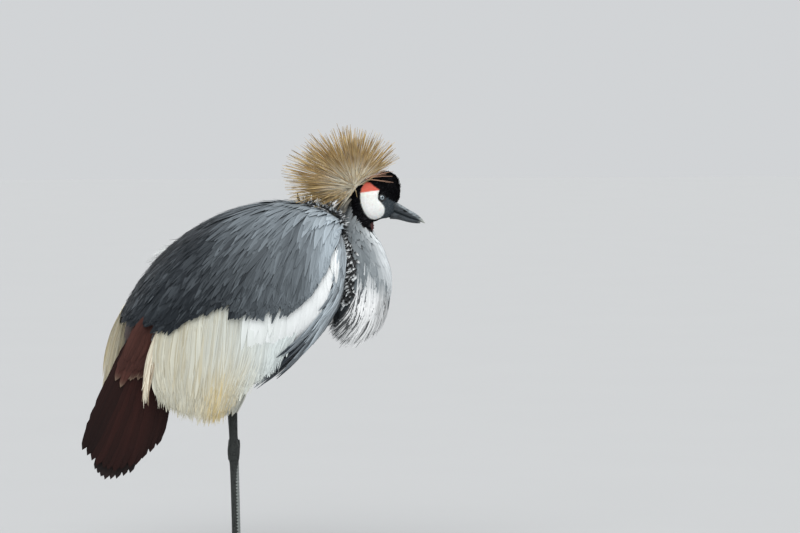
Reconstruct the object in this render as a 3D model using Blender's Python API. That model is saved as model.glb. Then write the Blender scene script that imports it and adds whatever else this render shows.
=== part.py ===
"""Grey crowned crane at rest on both feet, life size, in metres, +Z up, facing +X."""

import math
import random

import bmesh
import bpy
from mathutils import Matrix, Vector

# Driving sizes of the bird
LEG_FORE_AFT = -0.040
LEG_APART = 0.046
FAR_LEG_AHEAD = 0.010
THIGH_HEIGHT = 0.292
HOCK_HEIGHT = 0.205
ANKLE_HEIGHT = 0.020
MIDDLE_TOE = 0.082
SIDE_TOE = 0.062
HIND_TOE = 0.030
CREST_LENGTH = 0.113
EYE = Vector((0.2055, 0.0128, 0.6125))
EYE_RADIUS = 0.0068

# The gap that neighbours keep, and the thickness of a vane at its root and near its tip
GAP = 0.0004
VANE_ROOT = 0.0011
VANE_TIP = 0.0006

# The plumage and the torso as slices from the shoulder to the rump:
# top x, top z, bottom x, bottom z, half width
PLUMAGE = (
    (0.156, 0.545, 0.156, 0.512, 0.030),
    (0.136, 0.586, 0.154, 0.460, 0.078),
    (0.093, 0.605, 0.136, 0.412, 0.103),
    (0.041, 0.611, 0.095, 0.360, 0.116),
    (-0.015, 0.602, 0.036, 0.318, 0.120),
    (-0.073, 0.580, -0.025, 0.295, 0.115),
    (-0.125, 0.547, -0.082, 0.288, 0.102),
    (-0.168, 0.506, -0.130, 0.298, 0.084),
    (-0.199, 0.463, -0.164, 0.318, 0.063),
    (-0.219, 0.424, -0.186, 0.339, 0.042),
    (-0.225, 0.388, -0.206, 0.362, 0.022),
)
TORSO = (
    (0.150, 0.534, 0.150, 0.505, 0.018),
    (0.129, 0.571, 0.143, 0.470, 0.060),
    (0.090, 0.589, 0.124, 0.425, 0.084),
    (0.039, 0.595, 0.084, 0.378, 0.097),
    (-0.013, 0.586, 0.028, 0.342, 0.101),
    (-0.067, 0.564, -0.030, 0.322, 0.096),
    (-0.115, 0.532, -0.085, 0.322, 0.084),
    (-0.155, 0.492, -0.136, 0.346, 0.066),
    (-0.185, 0.452, -0.176, 0.380, 0.045),
    (-0.205, 0.414, -0.199, 0.392, 0.022),
)
HEAD = (
    (0.152, 0.617, 0.154, 0.597, 0.006),
    (0.160, 0.633, 0.166, 0.580, 0.0165),
    (0.175, 0.643, 0.180, 0.572, 0.0200),
    (0.191, 0.646, 0.193, 0.573, 0.0205),
    (0.208, 0.640, 0.207, 0.577, 0.0185),
    (0.221, 0.626, 0.218, 0.579, 0.0140),
    (0.229, 0.612, 0.226, 0.580, 0.0100),
)
UPPER_BILL = (
    (0.222, 0.6085, 0.221, 0.5905, 0.0098),
    (0.232, 0.6036, 0.231, 0.5885, 0.0090),
    (0.242, 0.5978, 0.2425, 0.5837, 0.0074),
    (0.2536, 0.5913, 0.2536, 0.5798, 0.0060),
    (0.264, 0.5857, 0.2635, 0.5762, 0.0046),
    (0.2726, 0.5788, 0.272, 0.5727, 0.0028),
    (0.2785, 0.5715, 0.2782, 0.5704, 0.0008),
)
LOWER_BILL = (
    (0.221, 0.5900, 0.221, 0.5785, 0.0094),
    (0.231, 0.5879, 0.233, 0.5775, 0.0080),
    (0.2425, 0.5831, 0.2434, 0.5748, 0.0066),
    (0.2536, 0.5792, 0.2536, 0.5722, 0.0052),
    (0.2635, 0.5756, 0.264, 0.5703, 0.0038),
    (0.2715, 0.5722, 0.2725, 0.5697, 0.0016),
)
# The neck as points on its middle line: x, z, half depth, half width
NECK_UPPER = (
    (0.182, 0.606, 0.014, 0.014),
    (0.173, 0.590, 0.022, 0.018),
    (0.166, 0.570, 0.026, 0.021),
    (0.166, 0.548, 0.031, 0.026),
    (0.170, 0.530, 0.037, 0.031),
)
NECK_LOWER = (
    (0.1705, 0.5285, 0.0375, 0.0315),
    (0.173, 0.508, 0.043, 0.037),
    (0.176, 0.484, 0.047, 0.042),
    (0.175, 0.460, 0.047, 0.044),
    (0.168, 0.436, 0.043, 0.043),
    (0.156, 0.414, 0.034, 0.036),
    (0.146, 0.398, 0.020, 0.022),
)
ROUND_POWER = 0.92

# How the long feathers of the cape run over the plumage, from the front to the rump, as shares along
# it and turns in degrees from the spine: where they start and where the cape ends
CAPE_RUN = (
    (0.05, 35, 0.13, 52),
    (0.07, 26, 0.19, 79),
    (0.09, 20, 0.26, 97),
    (0.12, 15, 0.34, 104),
    (0.15, 11, 0.43, 99),
    (0.18, 8, 0.52, 89),
    (0.21, 6, 0.60, 87),
    (0.24, 4, 0.70, 91),
    (0.27, 3, 0.78, 80),
    (0.29, 1.5, 0.87, 58),
    (0.31, -3, 0.94, 28),
    (0.33, -5, 0.94, -5),
)
# How the white coverts run, from under the cape to the wing's front edge
COVERT_RUN = (
    (0.18, 78, 0.235, 110),
    (0.22, 90, 0.29, 122),
    (0.27, 98, 0.35, 132),
    (0.33, 102, 0.41, 140),
    (0.40, 100, 0.47, 143),
    (0.46, 95, 0.53, 142),
    (0.52, 90, 0.58, 140),
    (0.58, 88, 0.63, 138),
)
# The front edge of the wing, from the shoulder to the belly
FRONT_EDGE = (
    (0.095, 68), (0.105, 92), (0.135, 114), (0.18, 128), (0.23, 137), (0.28, 147), (0.34, 158), (0.41, 166),
    (0.48, 170),
)
# The flight feathers fan out from one point inside the wing: degrees back from straight down, length
FAN_X, FAN_Z = -0.150, 0.455
SECONDARY_FAN = ((4, 0.240), (10, 0.272), (16, 0.288), (22, 0.286), (28.5, 0.273))
PRIMARY_FAN = ((11, 0.285), (15, 0.300), (18.5, 0.306), (21, 0.298))


def clear_scene():
    for old in list(bpy.data.objects):
        bpy.data.objects.remove(old)


def material(name, colour, roughness):
    made = bpy.data.materials.new(name)
    made.use_nodes = True
    shader = made.node_tree.nodes["Principled BSDF"]
    shader.inputs["Base Color"].default_value = (*colour, 1.0)
    shader.inputs["Roughness"].default_value = roughness
    shader.inputs["Metallic"].default_value = 0.0
    return made


def mesh_object(name, points, faces):
    """A triangulated object whose faces point outwards."""
    mesh = bpy.data.meshes.new(name)
    mesh.from_pydata([tuple(p) for p in points], [], faces)
    shape = bmesh.new()
    shape.from_mesh(mesh)
    bmesh.ops.remove_doubles(shape, verts=shape.verts, dist=1e-6)
    bmesh.ops.recalc_face_normals(shape, faces=shape.faces)
    bmesh.ops.triangulate(shape, faces=shape.faces)
    shape.to_mesh(mesh)
    shape.free()
    made = bpy.data.objects.new(name, mesh)
    bird.objects.link(made)
    return made


def take_primitive(name):
    """Moves the primitive just added to the bird, with its place in its mesh."""
    made = bpy.context.object
    made.name = name
    bpy.ops.object.transform_apply(location=True, rotation=True, scale=True)
    for group in list(made.users_collection):
        group.objects.unlink(made)
    bird.objects.link(made)
    shape = bmesh.new()
    shape.from_mesh(made.data)
    bmesh.ops.triangulate(shape, faces=shape.faces)
    shape.to_mesh(made.data)
    shape.free()
    return made


def ball(name, centre, radii, across=16, along=10, turn=(0, 0, 0)):
    bpy.ops.mesh.primitive_uv_sphere_add(segments=across, ring_count=along, location=centre, rotation=turn)
    bpy.context.object.scale = radii
    return take_primitive(name)


def between(rows, share):
    """The row at a share from 0 to 1 of the way through the rows, on a smooth curve."""
    last = len(rows) - 1
    place = min(max(share, 0.0), 1.0) * last
    i = min(int(place), last - 1)
    f = place - i
    near = (rows[max(i - 1, 0)], rows[i], rows[i + 1], rows[min(i + 2, last)])
    return tuple(
        0.5 * (2 * b + (c - a) * f + (2 * a - 5 * b + 4 * c - d) * f**2 + (3 * b - a - 3 * c + d) * f**3)
        for a, b, c, d in zip(*near)
    )


def slice_point(row, turn):
    """A point of one slice, turn 0 at the top and pi at the bottom, on the left side up to there."""
    top_x, top_z, low_x, low_z, half = row
    up = math.copysign(abs(math.cos(turn)) ** ROUND_POWER, math.cos(turn))
    out = math.copysign(abs(math.sin(turn)) ** ROUND_POWER, math.sin(turn))
    return Vector((
        (top_x + low_x) / 2 + (top_x - low_x) / 2 * up,
        half * out,
        (top_z + low_z) / 2 + (top_z - low_z) / 2 * up,
    ))


def plumage_place(along, turn, lift, side):
    """A point over the plumage and its outward direction. along runs from shoulder to rump, turn in
    degrees from spine to belly, and side is -1 on the right."""
    step = 0.01
    angle = math.radians(turn)
    row = between(PLUMAGE, along)
    middle = Vector(((row[0] + row[2]) / 2, 0, (row[1] + row[3]) / 2))
    here = slice_point(row, angle)
    back = slice_point(between(PLUMAGE, min(along + step, 1.0)), angle)
    front = slice_point(between(PLUMAGE, max(along - step, 0.0)), angle)
    under = slice_point(row, angle + step)
    over = slice_point(row, angle - step)
    out = (under - over).cross(front - back).normalized()
    if out.dot(here - middle) < 0:
        out = -out
    here += out * lift
    return Vector((here.x, side * here.y, here.z)), Vector((out.x, side * out.y, out.z))


def loft(name, rings):
    """A closed skin over rings of points, each end closed by a fan."""
    count = len(rings[0])
    points = [p for ring in rings for p in ring]
    faces = []
    for row in range(len(rings) - 1):
        for i in range(count):
            j = (i + 1) % count
            a, b = row * count, (row + 1) * count
            faces.append((a + i, a + j, b + j, b + i))
    for row in (0, len(rings) - 1):
        points.append(sum(rings[row], Vector()) / count)
        for i in range(count):
            faces.append((row * count + i, row * count + (i + 1) % count, len(points) - 1))
    return mesh_object(name, points, faces)


def slices(name, rows, across, along):
    """A loft of slices, with so many points round each and so many slices."""
    rings = []
    for step in range(along):
        row = between(rows, step / (along - 1))
        rings.append([slice_point(row, 2 * math.pi * i / across) for i in range(across)])
    return loft(name, rings)


def tube_frame(rows, share):
    """The middle, the forward direction and the two half sizes of a neck at a share of its length."""
    x, z, deep, wide = between(rows, share)
    ahead = between(rows, min(share + 0.01, 1.0))
    behind = between(rows, max(share - 0.01, 0.0))
    way = Vector((ahead[0] - behind[0], 0, ahead[1] - behind[1])).normalized()
    return Vector((x, 0, z)), Vector((-way.z, 0, way.x)), deep, wide


def tube_point(rows, share, turn, lift):
    """A point over a neck, turn 0 at the throat, and its outward direction."""
    centre, front, deep, wide = tube_frame(rows, share)
    aside = Vector((0, 1, 0))
    out = (front * math.cos(turn) * wide + aside * math.sin(turn) * deep).normalized()
    return centre + front * deep * math.cos(turn) + aside * wide * math.sin(turn) + out * lift, out


def tube(name, rows, across, along):
    """A loft along a middle line in the bird's middle plane."""
    rings = []
    for step in range(along):
        share = step / (along - 1)
        rings.append([tube_point(rows, share, 2 * math.pi * i / across, 0.0)[0] for i in range(across)])
    return loft(name, rings)


def slab(name, outer, inner, columns, rows):
    """A thick curved sheet between two grids of points, as outer(u, v) and inner(u, v)."""
    points, faces = [], []
    for face in (outer, inner):
        for r in range(rows + 1):
            for c in range(columns + 1):
                points.append(face(c / columns, r / rows))
    width = columns + 1
    back = width * (rows + 1)
    for r in range(rows):
        for c in range(columns):
            a, b, d, e = r * width + c, r * width + c + 1, (r + 1) * width + c + 1, (r + 1) * width + c
            faces += [(a, b, d), (a, d, e), (back + a, back + d, back + b), (back + a, back + e, back + d)]
    edge = [r * width for r in range(rows + 1)]
    edge += [rows * width + c for c in range(1, width)]
    edge += [r * width + columns for r in range(rows - 1, -1, -1)]
    edge += [c for c in range(columns - 1, 0, -1)]
    for i, a in enumerate(edge):
        b = edge[(i + 1) % len(edge)]
        faces += [(a, b, back + b), (a, back + b, back + a)]
    return mesh_object(name, points, faces)


def vane(path, out, halves):
    """One feather: a strip along a path, out its face's direction and halves its half widths."""
    points, faces = [], []
    last = len(path) - 1
    for i, (here, face, half) in enumerate(zip(path, out, halves)):
        way = path[min(i + 1, last)] - path[max(i - 1, 0)]
        aside = way.cross(face).normalized()
        lift = aside.cross(way).normalized() * (VANE_ROOT + (VANE_TIP - VANE_ROOT) * i / last) / 2
        points += [here - aside * half + lift, here + aside * half + lift]
        points += [here + aside * half - lift, here - aside * half - lift]
    for i in range(last):
        a, b = 4 * i, 4 * i + 4
        faces += [(a, a + 1, b + 1), (a, b + 1, b), (a + 3, b + 2, a + 2), (a + 3, b + 3, b + 2)]
        faces += [(a + 1, a + 2, b + 2), (a + 1, b + 2, b + 1), (a, b + 3, a + 3), (a, b, b + 3)]
    end = 4 * last
    faces += [(0, 2, 1), (0, 3, 2), (end, end + 1, end + 2), (end, end + 2, end + 3)]
    return mesh_object("vane", points, faces)


def plumage_vane(run, side, share, start, stop, lifts, half):
    """A feather that follows one line of a run over the plumage, from start to stop of that line. It
    rises steeply out of the plate that it is rooted in and then slowly."""
    root_along, root_turn, end_along, end_turn = between(run, share)
    path, out = [], []
    for step, lift in zip((0.0, 0.14, 0.62, 1.0), lifts):
        f = start + (stop - start) * step
        along = root_along + (end_along - root_along) * f
        turn = root_turn + (end_turn - root_turn) * f
        here, face = plumage_place(min(along, 1.0), turn, lift, side)
        path.append(here)
        out.append(face)
    return vane(path, out, [half * s for s in (0.5, 0.7, 1.0, 0.22)])


def bristle(root, way, length, radius):
    """One stiff crest feather: three sides, tapering to a point."""
    aside = way.orthogonal().normalized()
    other = way.cross(aside)
    points = []
    for share, size in ((0.0, 1.0), (0.6, 0.75)):
        for i in range(3):
            angle = 2 * math.pi * i / 3
            spoke = aside * math.cos(angle) + other * math.sin(angle)
            points.append(root + way * length * share + spoke * radius * size)
    points.append(root + way * length)
    faces = [(0, 2, 1)]
    for i in range(3):
        j = (i + 1) % 3
        faces += [(i, j, 3 + j), (i, 3 + j, 3 + i), (3 + i, 3 + j, 6)]
    return mesh_object("bristle", points, faces)


def keep_core(source):
    """Remembers the smooth body of a node before its feathers are fused to it, to cut neighbours with."""
    cores[source.name] = source.data.copy()


def swollen(source, gap):
    """A copy of the smooth body of a node, whose faces stand a gap outside it."""
    mesh = cores.get(source.name, source.data).copy()
    normals = [v.normal.copy() for v in mesh.vertices]
    for vertex, normal in zip(mesh.vertices, normals):
        vertex.co += normal * gap
    made = bpy.data.objects.new(source.name + "_swollen", mesh)
    bird.objects.link(made)
    return made


def apply_boolean(target, others, operation):
    """One Boolean of target with all the others, applied, after which the others are removed."""
    group = bpy.data.collections.new("pieces")
    bpy.context.scene.collection.children.link(group)
    for other in others:
        group.objects.link(other)
        bird.objects.unlink(other)
    modifier = target.modifiers.new(operation.lower(), "BOOLEAN")
    modifier.operation = operation
    modifier.operand_type = "COLLECTION"
    modifier.collection = group
    modifier.solver = "MANIFOLD"
    graph = bpy.context.evaluated_depsgraph_get()
    graph.update()
    mesh = bpy.data.meshes.new_from_object(target.evaluated_get(graph))
    target.modifiers.clear()
    target.data = mesh
    for other in others:
        bpy.data.objects.remove(other)
    bpy.data.collections.remove(group)
    keep_largest(target)


def keep_largest(target):
    """Keeps the closed surface of the largest volume."""
    shape = bmesh.new()
    shape.from_mesh(target.data)
    bmesh.ops.triangulate(shape, faces=shape.faces)
    seen, groups = set(), []
    for start in shape.faces:
        if start in seen:
            continue
        group, waiting = [], [start]
        seen.add(start)
        while waiting:
            face = waiting.pop()
            group.append(face)
            for other in (f for edge in face.edges for f in edge.link_faces if f not in seen):
                seen.add(other)
                waiting.append(other)
        groups.append(group)

    def volume(group):
        return sum(a.dot(b.cross(c)) for a, b, c in ([v.co for v in f.verts] for f in group))

    groups.sort(key=volume, reverse=True)
    spare = [face for group in groups[1:] for face in group]
    bmesh.ops.delete(shape, geom=spare, context="FACES")
    shape.to_mesh(target.data)
    shape.free()


def cut(target, *neighbours):
    """Cuts target back to a gap from its neighbours."""
    apply_boolean(target, [swollen(n, gap) for n in neighbours for gap in (GAP, 0.0)], "DIFFERENCE")


def fuse(target, pieces):
    apply_boolean(target, pieces, "UNION")


def carve(target, cutters):
    apply_boolean(target, cutters, "DIFFERENCE")


def build_mantle(torso, wings):
    """The slate cape of the back, whose long shoulder feathers hang over both wings in tiers."""
    tiers, across = 3, 6
    plates, vanes = [], []
    for side in (-1, 1):
        def sheet(lift, side=side):
            def place(u, v):
                root_along, root_turn, end_along, end_turn = between(CAPE_RUN, u)
                f = 0.84 * v
                along = root_along + (end_along - root_along) * f
                return plumage_place(along, root_turn + (end_turn - root_turn) * f, lift, side)[0]
            return place

        plates.append(slab("mantle", sheet(-0.0065), sheet(-0.0095), 9, 4))
        for tier in range(tiers):
            start = 0.22 + 0.23 * tier
            for i in range(across):
                share = 0.93 * (i + 0.4 + 0.5 * (tier % 2)) / (across + 0.5)
                here = plumage_place(*cape_place(share - 0.04, start + 0.2), 0.0, side)[0]
                there = plumage_place(*cape_place(share + 0.04, start + 0.2), 0.0, side)[0]
                half = 0.44 * (there - here).length / 0.08 / (across + 0.5)
                vanes.append(plumage_vane(
                    CAPE_RUN, side, share, start, start + 0.37, (-0.0088, -0.0045, -0.0005, 0.0010), half,
                ))
    mantle = plates.pop(0)
    fuse(mantle, plates)
    cut(mantle, torso, *wings)
    keep_core(mantle)
    fuse(mantle, vanes)
    return mantle


def cape_place(share, f):
    root_along, root_turn, end_along, end_turn = between(CAPE_RUN, share)
    return root_along + (end_along - root_along) * f, root_turn + (end_turn - root_turn) * f


def build_wing(side, word, torso):
    """The folded wing: a curved plate over the flank with its white coverts, the grey feathers of its
    front edge and the straw plumes that hang from its back."""
    def sheet(lift):
        def place(u, v):
            along = 0.10 + 0.78 * u
            low = 150 + 20 * math.sin(math.pi * u)
            return plumage_place(along, 14 + (low - 14) * v, lift, side)[0]
        return place

    wing = slab("wing_" + word, sheet(-0.0130), sheet(-0.0270), 8, 5)
    cut(wing, torso)
    keep_core(wing)
    pieces = []
    for tier, start in enumerate((0.0, 0.42)):
        for i in range(5):
            share = (i + 0.3 + 0.4 * tier) / 5.3
            pieces.append(plumage_vane(
                COVERT_RUN, side, share, start, start + 0.56, (-0.0155, -0.0110, -0.0080, -0.0060), 0.0125,
            ))
    for i in range(8):
        share = 0.02 + 0.085 * i
        path, out = [], []
        for f, lift in ((0.0, -0.0155), (0.04, -0.0110), (0.18, -0.0070), (0.30, -0.0040)):
            along, turn = between(FRONT_EDGE, share + f)
            here, face = plumage_place(along, turn + 8 * f, lift, side)
            path.append(here)
            out.append(face)
        pieces.append(vane(path, out, (0.0040, 0.0055, 0.0070, 0.0016)))
    for i in range(8):
        share = i / 7
        along = 0.51 + 0.24 * share
        path, out = [], []
        for step, turn, lift in ((-0.01, 88, -0.0155), (0.0, 94, -0.0095), (0.02, 122, -0.0015)):
            here, face = plumage_place(along + step, turn, lift, side)
            path.append(here)
            out.append(face)
        low = 0.252 + 0.040 * abs(share - 0.45) + 0.006 * (i % 2)
        tip_y = max(abs(path[2].y) - 0.014, 0.0620)
        path.append(Vector((path[2].x - 0.010 + 0.005 * (i % 3), side * tip_y, low)))
        out.append(Vector((0, side, 0)))
        pieces.append(vane(path, out, (0.0040, 0.0065, 0.0080, 0.0014)))
    fuse(wing, pieces)
    return wing


def fan_vane(side, degrees, start, length, apart_root, apart_tip, half):
    """One flight feather of the folded wing, from its fan's middle point, its face to the side."""
    angle = math.radians(degrees)
    way = Vector((-math.sin(angle), 0, -math.cos(angle)))
    path, out, halves = [], [], []
    for f, size in ((0.0, 0.5), (0.35, 0.9), (0.75, 1.0), (0.94, 0.7), (1.0, 0.25)):
        reach = start + (length - start) * f
        apart = apart_root + (apart_tip - apart_root) * f
        bow = 0.004 * math.sin(math.pi * f)
        path.append(Vector((FAN_X + bow, side * apart, FAN_Z)) + way * reach)
        out.append(Vector((0, side, 0)))
        halves.append(half * size)
    return vane(path, out, halves)


def build_fan(name, side, fan, count, start, apart, step, half, pad):
    """A node of flight feathers that lie over one another like cards, held by the pad at their roots."""
    x, y, z, radius, depth = pad
    bpy.ops.mesh.primitive_cylinder_add(
        vertices=14, radius=radius, depth=depth, location=(x, side * y, z), rotation=(math.pi / 2, 0, 0),
    )
    node = take_primitive(name)
    vanes = []
    for i in range(count):
        degrees, length = between(fan, i / (count - 1))
        offset = (i - (count - 1) / 2) * step
        vanes.append(fan_vane(side, degrees, start, length, apart[0] + offset, apart[1] + offset, half))
    fuse(node, vanes)
    return node


def build_tail():
    """The black tail: broad feathers that lie over one another, hanging steeply behind the legs."""
    root = Vector((-0.2050, 0, 0.400))
    tail = ball("tail", (-0.2070, 0, 0.384), (0.013, 0.019, 0.024), 12, 8)
    vanes = []
    for i in range(6):
        place = (i - 2.5) / 2.5
        layer = 0.0013 * (2.5 - abs(i - 2.5))
        tip = Vector((-0.2440 - 0.002 * abs(place), 0.0145 * place, 0.172 + 0.010 * place**2))
        back = Vector((-0.98, 0, 0.18))
        start = root + Vector((0.002, 0.008 * place, -0.012))
        path = []
        for f in (0.0, 0.4, 0.8, 0.95, 1.0):
            path.append(start.lerp(tip, f) + back * (layer + 0.006 * math.sin(math.pi * f)))
        vanes.append(vane(path, [back] * 5, (0.0045, 0.0075, 0.0080, 0.0060, 0.0025)))
    fuse(tail, vanes)
    return tail


def build_crest():
    """The brush of stiff straw-coloured feathers that stands out from the back of the crown."""
    random.seed(7)
    root = Vector((0.1545, 0, 0.6230))
    axis = Vector((math.cos(math.radians(122)), 0, math.sin(math.radians(122))))
    crest = ball("crest", root, (0.0105, 0.0110, 0.0105), 14, 8)
    aside = Vector((0, 1, 0))
    across = axis.cross(aside)
    count = 98
    spikes = []
    for i in range(count):
        tilt = math.acos(1 - (i + 0.5) / count * (1 - math.cos(math.radians(84))))
        around = i * math.pi * (3 - math.sqrt(5)) + random.uniform(-0.10, 0.10)
        tilt += random.uniform(-0.03, 0.03)
        spread = aside * math.cos(around) + across * math.sin(around)
        way = (axis * math.cos(tilt) + spread * math.sin(tilt)).normalized()
        rise = math.degrees(math.atan2(way.z, way.x)) % 360
        length = CREST_LENGTH * random.uniform(0.90, 1.03)
        forward = min(max((62 - rise) / 30, 0.0), 1.0) if rise < 180 else 0.0
        length *= 1 - 0.30 * forward
        if way.z < 0:
            length = min(length, max(0.0085 / -way.z, 0.022))
        spikes.append(bristle(root + way * 0.004, way, length - 0.004, 0.00085))
    fuse(crest, spikes)
    return crest


def build_head():
    """The skull with the velvet cushion of the forehead, the lids, the corner of the mouth and the
    sockets."""
    head = slices("head", HEAD, 16, 10)
    cushion = ball("cushion", (0.2150, 0, 0.6280), (0.0230, 0.0172, 0.0262), 14, 9)
    lids = []
    for side in (-1, 1):
        facing = Vector((0.18, side, 0.05)).normalized()
        turn = facing.to_track_quat("Z", "Y").to_euler()
        centre = Vector((EYE.x, side * EYE.y, EYE.z)) + facing * EYE_RADIUS * 0.72
        bpy.ops.mesh.primitive_torus_add(
            major_radius=EYE_RADIUS * 0.80, minor_radius=0.0013, major_segments=12, minor_segments=5,
            location=centre, rotation=turn,
        )
        lids.append(take_primitive("lid"))
    fuse(head, [cushion] + lids)
    corners = []
    for side in (-1, 1):
        corners.append(ball(
            "corner", (0.2190, side * 0.0150, 0.5908), (0.0080, 0.0035, 0.0006), 10, 6, (0, 0.05, -side * 0.42),
        ))
    carve(head, corners)
    return head


def build_bill(head):
    """Both halves of the bill, meeting along the mouth, with a slot for each nostril."""
    upper = slices("bill_upper", UPPER_BILL, 12, 8)
    nostrils = [
        ball("nostril", (0.2465, side * 0.0076, 0.5893), (0.0040, 0.0016, 0.0010), 10, 6, (0, 0.45, -side * 0.12))
        for side in (-1, 1)
    ]
    carve(upper, nostrils)
    lower = slices("bill_lower", LOWER_BILL, 10, 7)
    cut(upper, head)
    cut(lower, head)
    return upper, lower


def build_neck_lower(neck_upper, body):
    """The full lower neck, whose long pointed feathers hang loose over the breast."""
    neck = tube("neck_lower", NECK_LOWER, 18, 8)
    hackles = []
    for tier, share in enumerate((0.46, 0.60, 0.74)):
        count = 8
        for i in range(count):
            turn = math.radians(-112 + 224 * (i + 0.5 * (tier % 2)) / (count - 0.5))
            root, out = tube_point(NECK_LOWER, share, turn, -0.0030)
            middle = tube_point(NECK_LOWER, share + 0.17, turn * 0.97, 0.0022)[0]
            fall = Vector((-0.35, 0, -1)).normalized()
            length = 0.034 - 0.008 * abs(turn) / 2 + 0.004 * (i % 2)
            tip = middle + (fall + out * 0.10).normalized() * length
            hackles.append(vane((root, middle, tip), (out, out, out), (0.0036, 0.0052, 0.0011)))
    cut(neck, neck_upper, *body)
    keep_core(neck)
    fuse(neck, hackles)
    return neck


def build_thigh(side, word, ahead, neighbours):
    """The feathered thigh under the belly."""
    thigh = slices("thigh_" + word, (
        (-0.074, 0.335, -0.006, 0.335, 0.020),
        (-0.067, 0.310, -0.013, 0.310, 0.017),
        (-0.057, 0.288, -0.024, 0.288, 0.014),
        (-0.0515, 0.270, -0.0305, 0.270, 0.0098),
    ), 14, 6)
    thigh.data.transform(Matrix.Translation((ahead * 0.5, side * LEG_APART * 0.95, 0)))
    cut(thigh, *neighbours)
    return thigh


def build_leg(side, word, ahead, thigh):
    """The bare shank, the hock and the shin with the row of scutes down its front."""
    hip = Vector((LEG_FORE_AFT - 0.001 + ahead * 0.5, side * LEG_APART * 0.95, THIGH_HEIGHT))
    hock = Vector((LEG_FORE_AFT + ahead, side * LEG_APART, HOCK_HEIGHT))
    ankle = Vector((LEG_FORE_AFT + 0.004 + ahead, side * LEG_APART, ANKLE_HEIGHT))
    stations = (
        (hip, 0.0074), (hip.lerp(hock, 0.80), 0.0074), (hock + Vector((0, 0, 0.009)), 0.0098), (hock, 0.0106),
        (hock - Vector((0, 0, 0.012)), 0.0096), (hock.lerp(ankle, 0.17), 0.0068),
        (hock.lerp(ankle, 0.85), 0.0062), (ankle, 0.0080),
    )
    rings = []
    for centre, radius in stations:
        rings.append([
            centre + Vector((radius * math.cos(t), radius * 0.82 * math.sin(t), 0))
            for t in (2 * math.pi * i / 10 for i in range(10))
        ])
    leg = loft("leg_" + word, rings)
    scutes = []
    count = 8
    for i in range(count):
        middle = hock.lerp(ankle, 0.17 + 0.72 * (i + 0.5) / count)
        bpy.ops.mesh.primitive_cube_add(size=1, location=middle + Vector((0.0052, 0, 0)), rotation=(0, 0.10, 0))
        bpy.context.object.scale = (0.0034, 0.0062, 0.0138)
        scutes.append(take_primitive("scute"))
    fuse(leg, scutes)
    cut(leg, thigh)
    return leg, ankle


def toe(start, heading, length, radius):
    """One toe with its pads, on the floor. It returns the piece, its end and its direction."""
    way = Vector((math.cos(heading), math.sin(heading), 0))
    aside = Vector((-way.y, way.x, 0))
    rings = []
    for share, size in ((0.0, 1.25), (0.28, 0.90), (0.42, 1.06), (0.60, 0.86), (0.74, 0.98), (1.0, 0.50)):
        r = radius * size
        middle = start + way * length * share
        floor = Vector((middle.x, middle.y, 0))
        high = start.z * (1 - share) ** 3 + r * 1.9
        rings.append([
            floor + aside * r * across + Vector((0, 0, high * up))
            for across, up in ((0.62, 0), (1, 0.45), (0.5, 1), (-0.5, 1), (-1, 0.45), (-0.62, 0))
        ])
    return loft("toe", rings), start + way * length, way


def claw(name, start, way, length, radius):
    """One blunt curved claw that lies ahead of its toe."""
    aside = Vector((-way.y, way.x, 0))
    rings = []
    for share in (0.0, 0.5, 1.0):
        r = radius * (1 - 0.85 * share)
        centre = start + way * length * share + Vector((0, 0, radius * (1.25 - 1.1 * share)))
        ring = [
            centre + aside * r * 0.8 * math.cos(t) + Vector((0, 0, r * math.sin(t)))
            for t in (2 * math.pi * i / 6 for i in range(6))
        ]
        rings.append([Vector((p.x, p.y, max(p.z, 0.0003))) for p in ring])
    return loft(name, rings)


def build_foot(side, word, ankle, leg):
    """The foot with its four toes, flat on the floor, and a claw at the end of each."""
    base = Vector((ankle.x, ankle.y, 0.008))
    toes, nails = [], []
    for finger, degrees, length, radius, nail in (
        ("middle", 0, MIDDLE_TOE, 0.0056, 0.011),
        ("outer", 30, SIDE_TOE, 0.0052, 0.010),
        ("inner", -32, SIDE_TOE * 0.92, 0.0052, 0.010),
        ("hind", 168, HIND_TOE, 0.0045, 0.008),
    ):
        piece, end, way = toe(base, math.radians(degrees) * side, length, radius)
        toes.append(piece)
        nails.append((finger, Vector((end.x, end.y, 0)) - way * 0.002, way, nail, radius * 0.62))
    foot = ball("foot_" + word, (ankle.x, ankle.y, 0.0105), (0.0085, 0.0080, 0.0098), 12, 8)
    fuse(foot, toes)
    bpy.ops.mesh.primitive_cube_add(size=1, location=(0, 0, -0.5))
    carve(foot, [take_primitive("below_floor")])
    cut(foot, leg)
    claws = []
    for finger, start, way, length, radius in nails:
        nail = claw("claw_%s_%s" % (finger, word), start, way, length, radius)
        cut(nail, foot)
        claws.append(nail)
    return foot, claws


def finish(paint, *targets):
    for target in targets:
        target.data.materials.clear()
        target.data.materials.append(paint)


clear_scene()
cores = {}
bird = bpy.data.collections.new("grey_crowned_crane")
bpy.context.scene.collection.children.link(bird)

torso = slices("torso", TORSO, 16, 11)
wings = [build_wing(side, word, torso) for side, word in ((-1, "right"), (1, "left"))]
mantle = build_mantle(torso, wings)
body = [torso, mantle] + wings

head = build_head()
eyes = [
    ball("eye_" + word, (EYE.x, side * EYE.y, EYE.z), (EYE_RADIUS,) * 3, 12, 8)
    for side, word in ((-1, "right"), (1, "left"))
]
cut(head, *eyes)
bill = build_bill(head)
neck_upper = tube("neck_upper", NECK_UPPER, 16, 6)
cut(neck_upper, head, *body)
neck_lower = build_neck_lower(neck_upper, body)
crest = build_crest()
cut(crest, head, neck_upper, mantle)
wattle = ball("wattle", (0.1935, 0, 0.5620), (0.0040, 0.0034, 0.0105), 10, 8)
cut(wattle, head, neck_upper, neck_lower)

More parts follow.
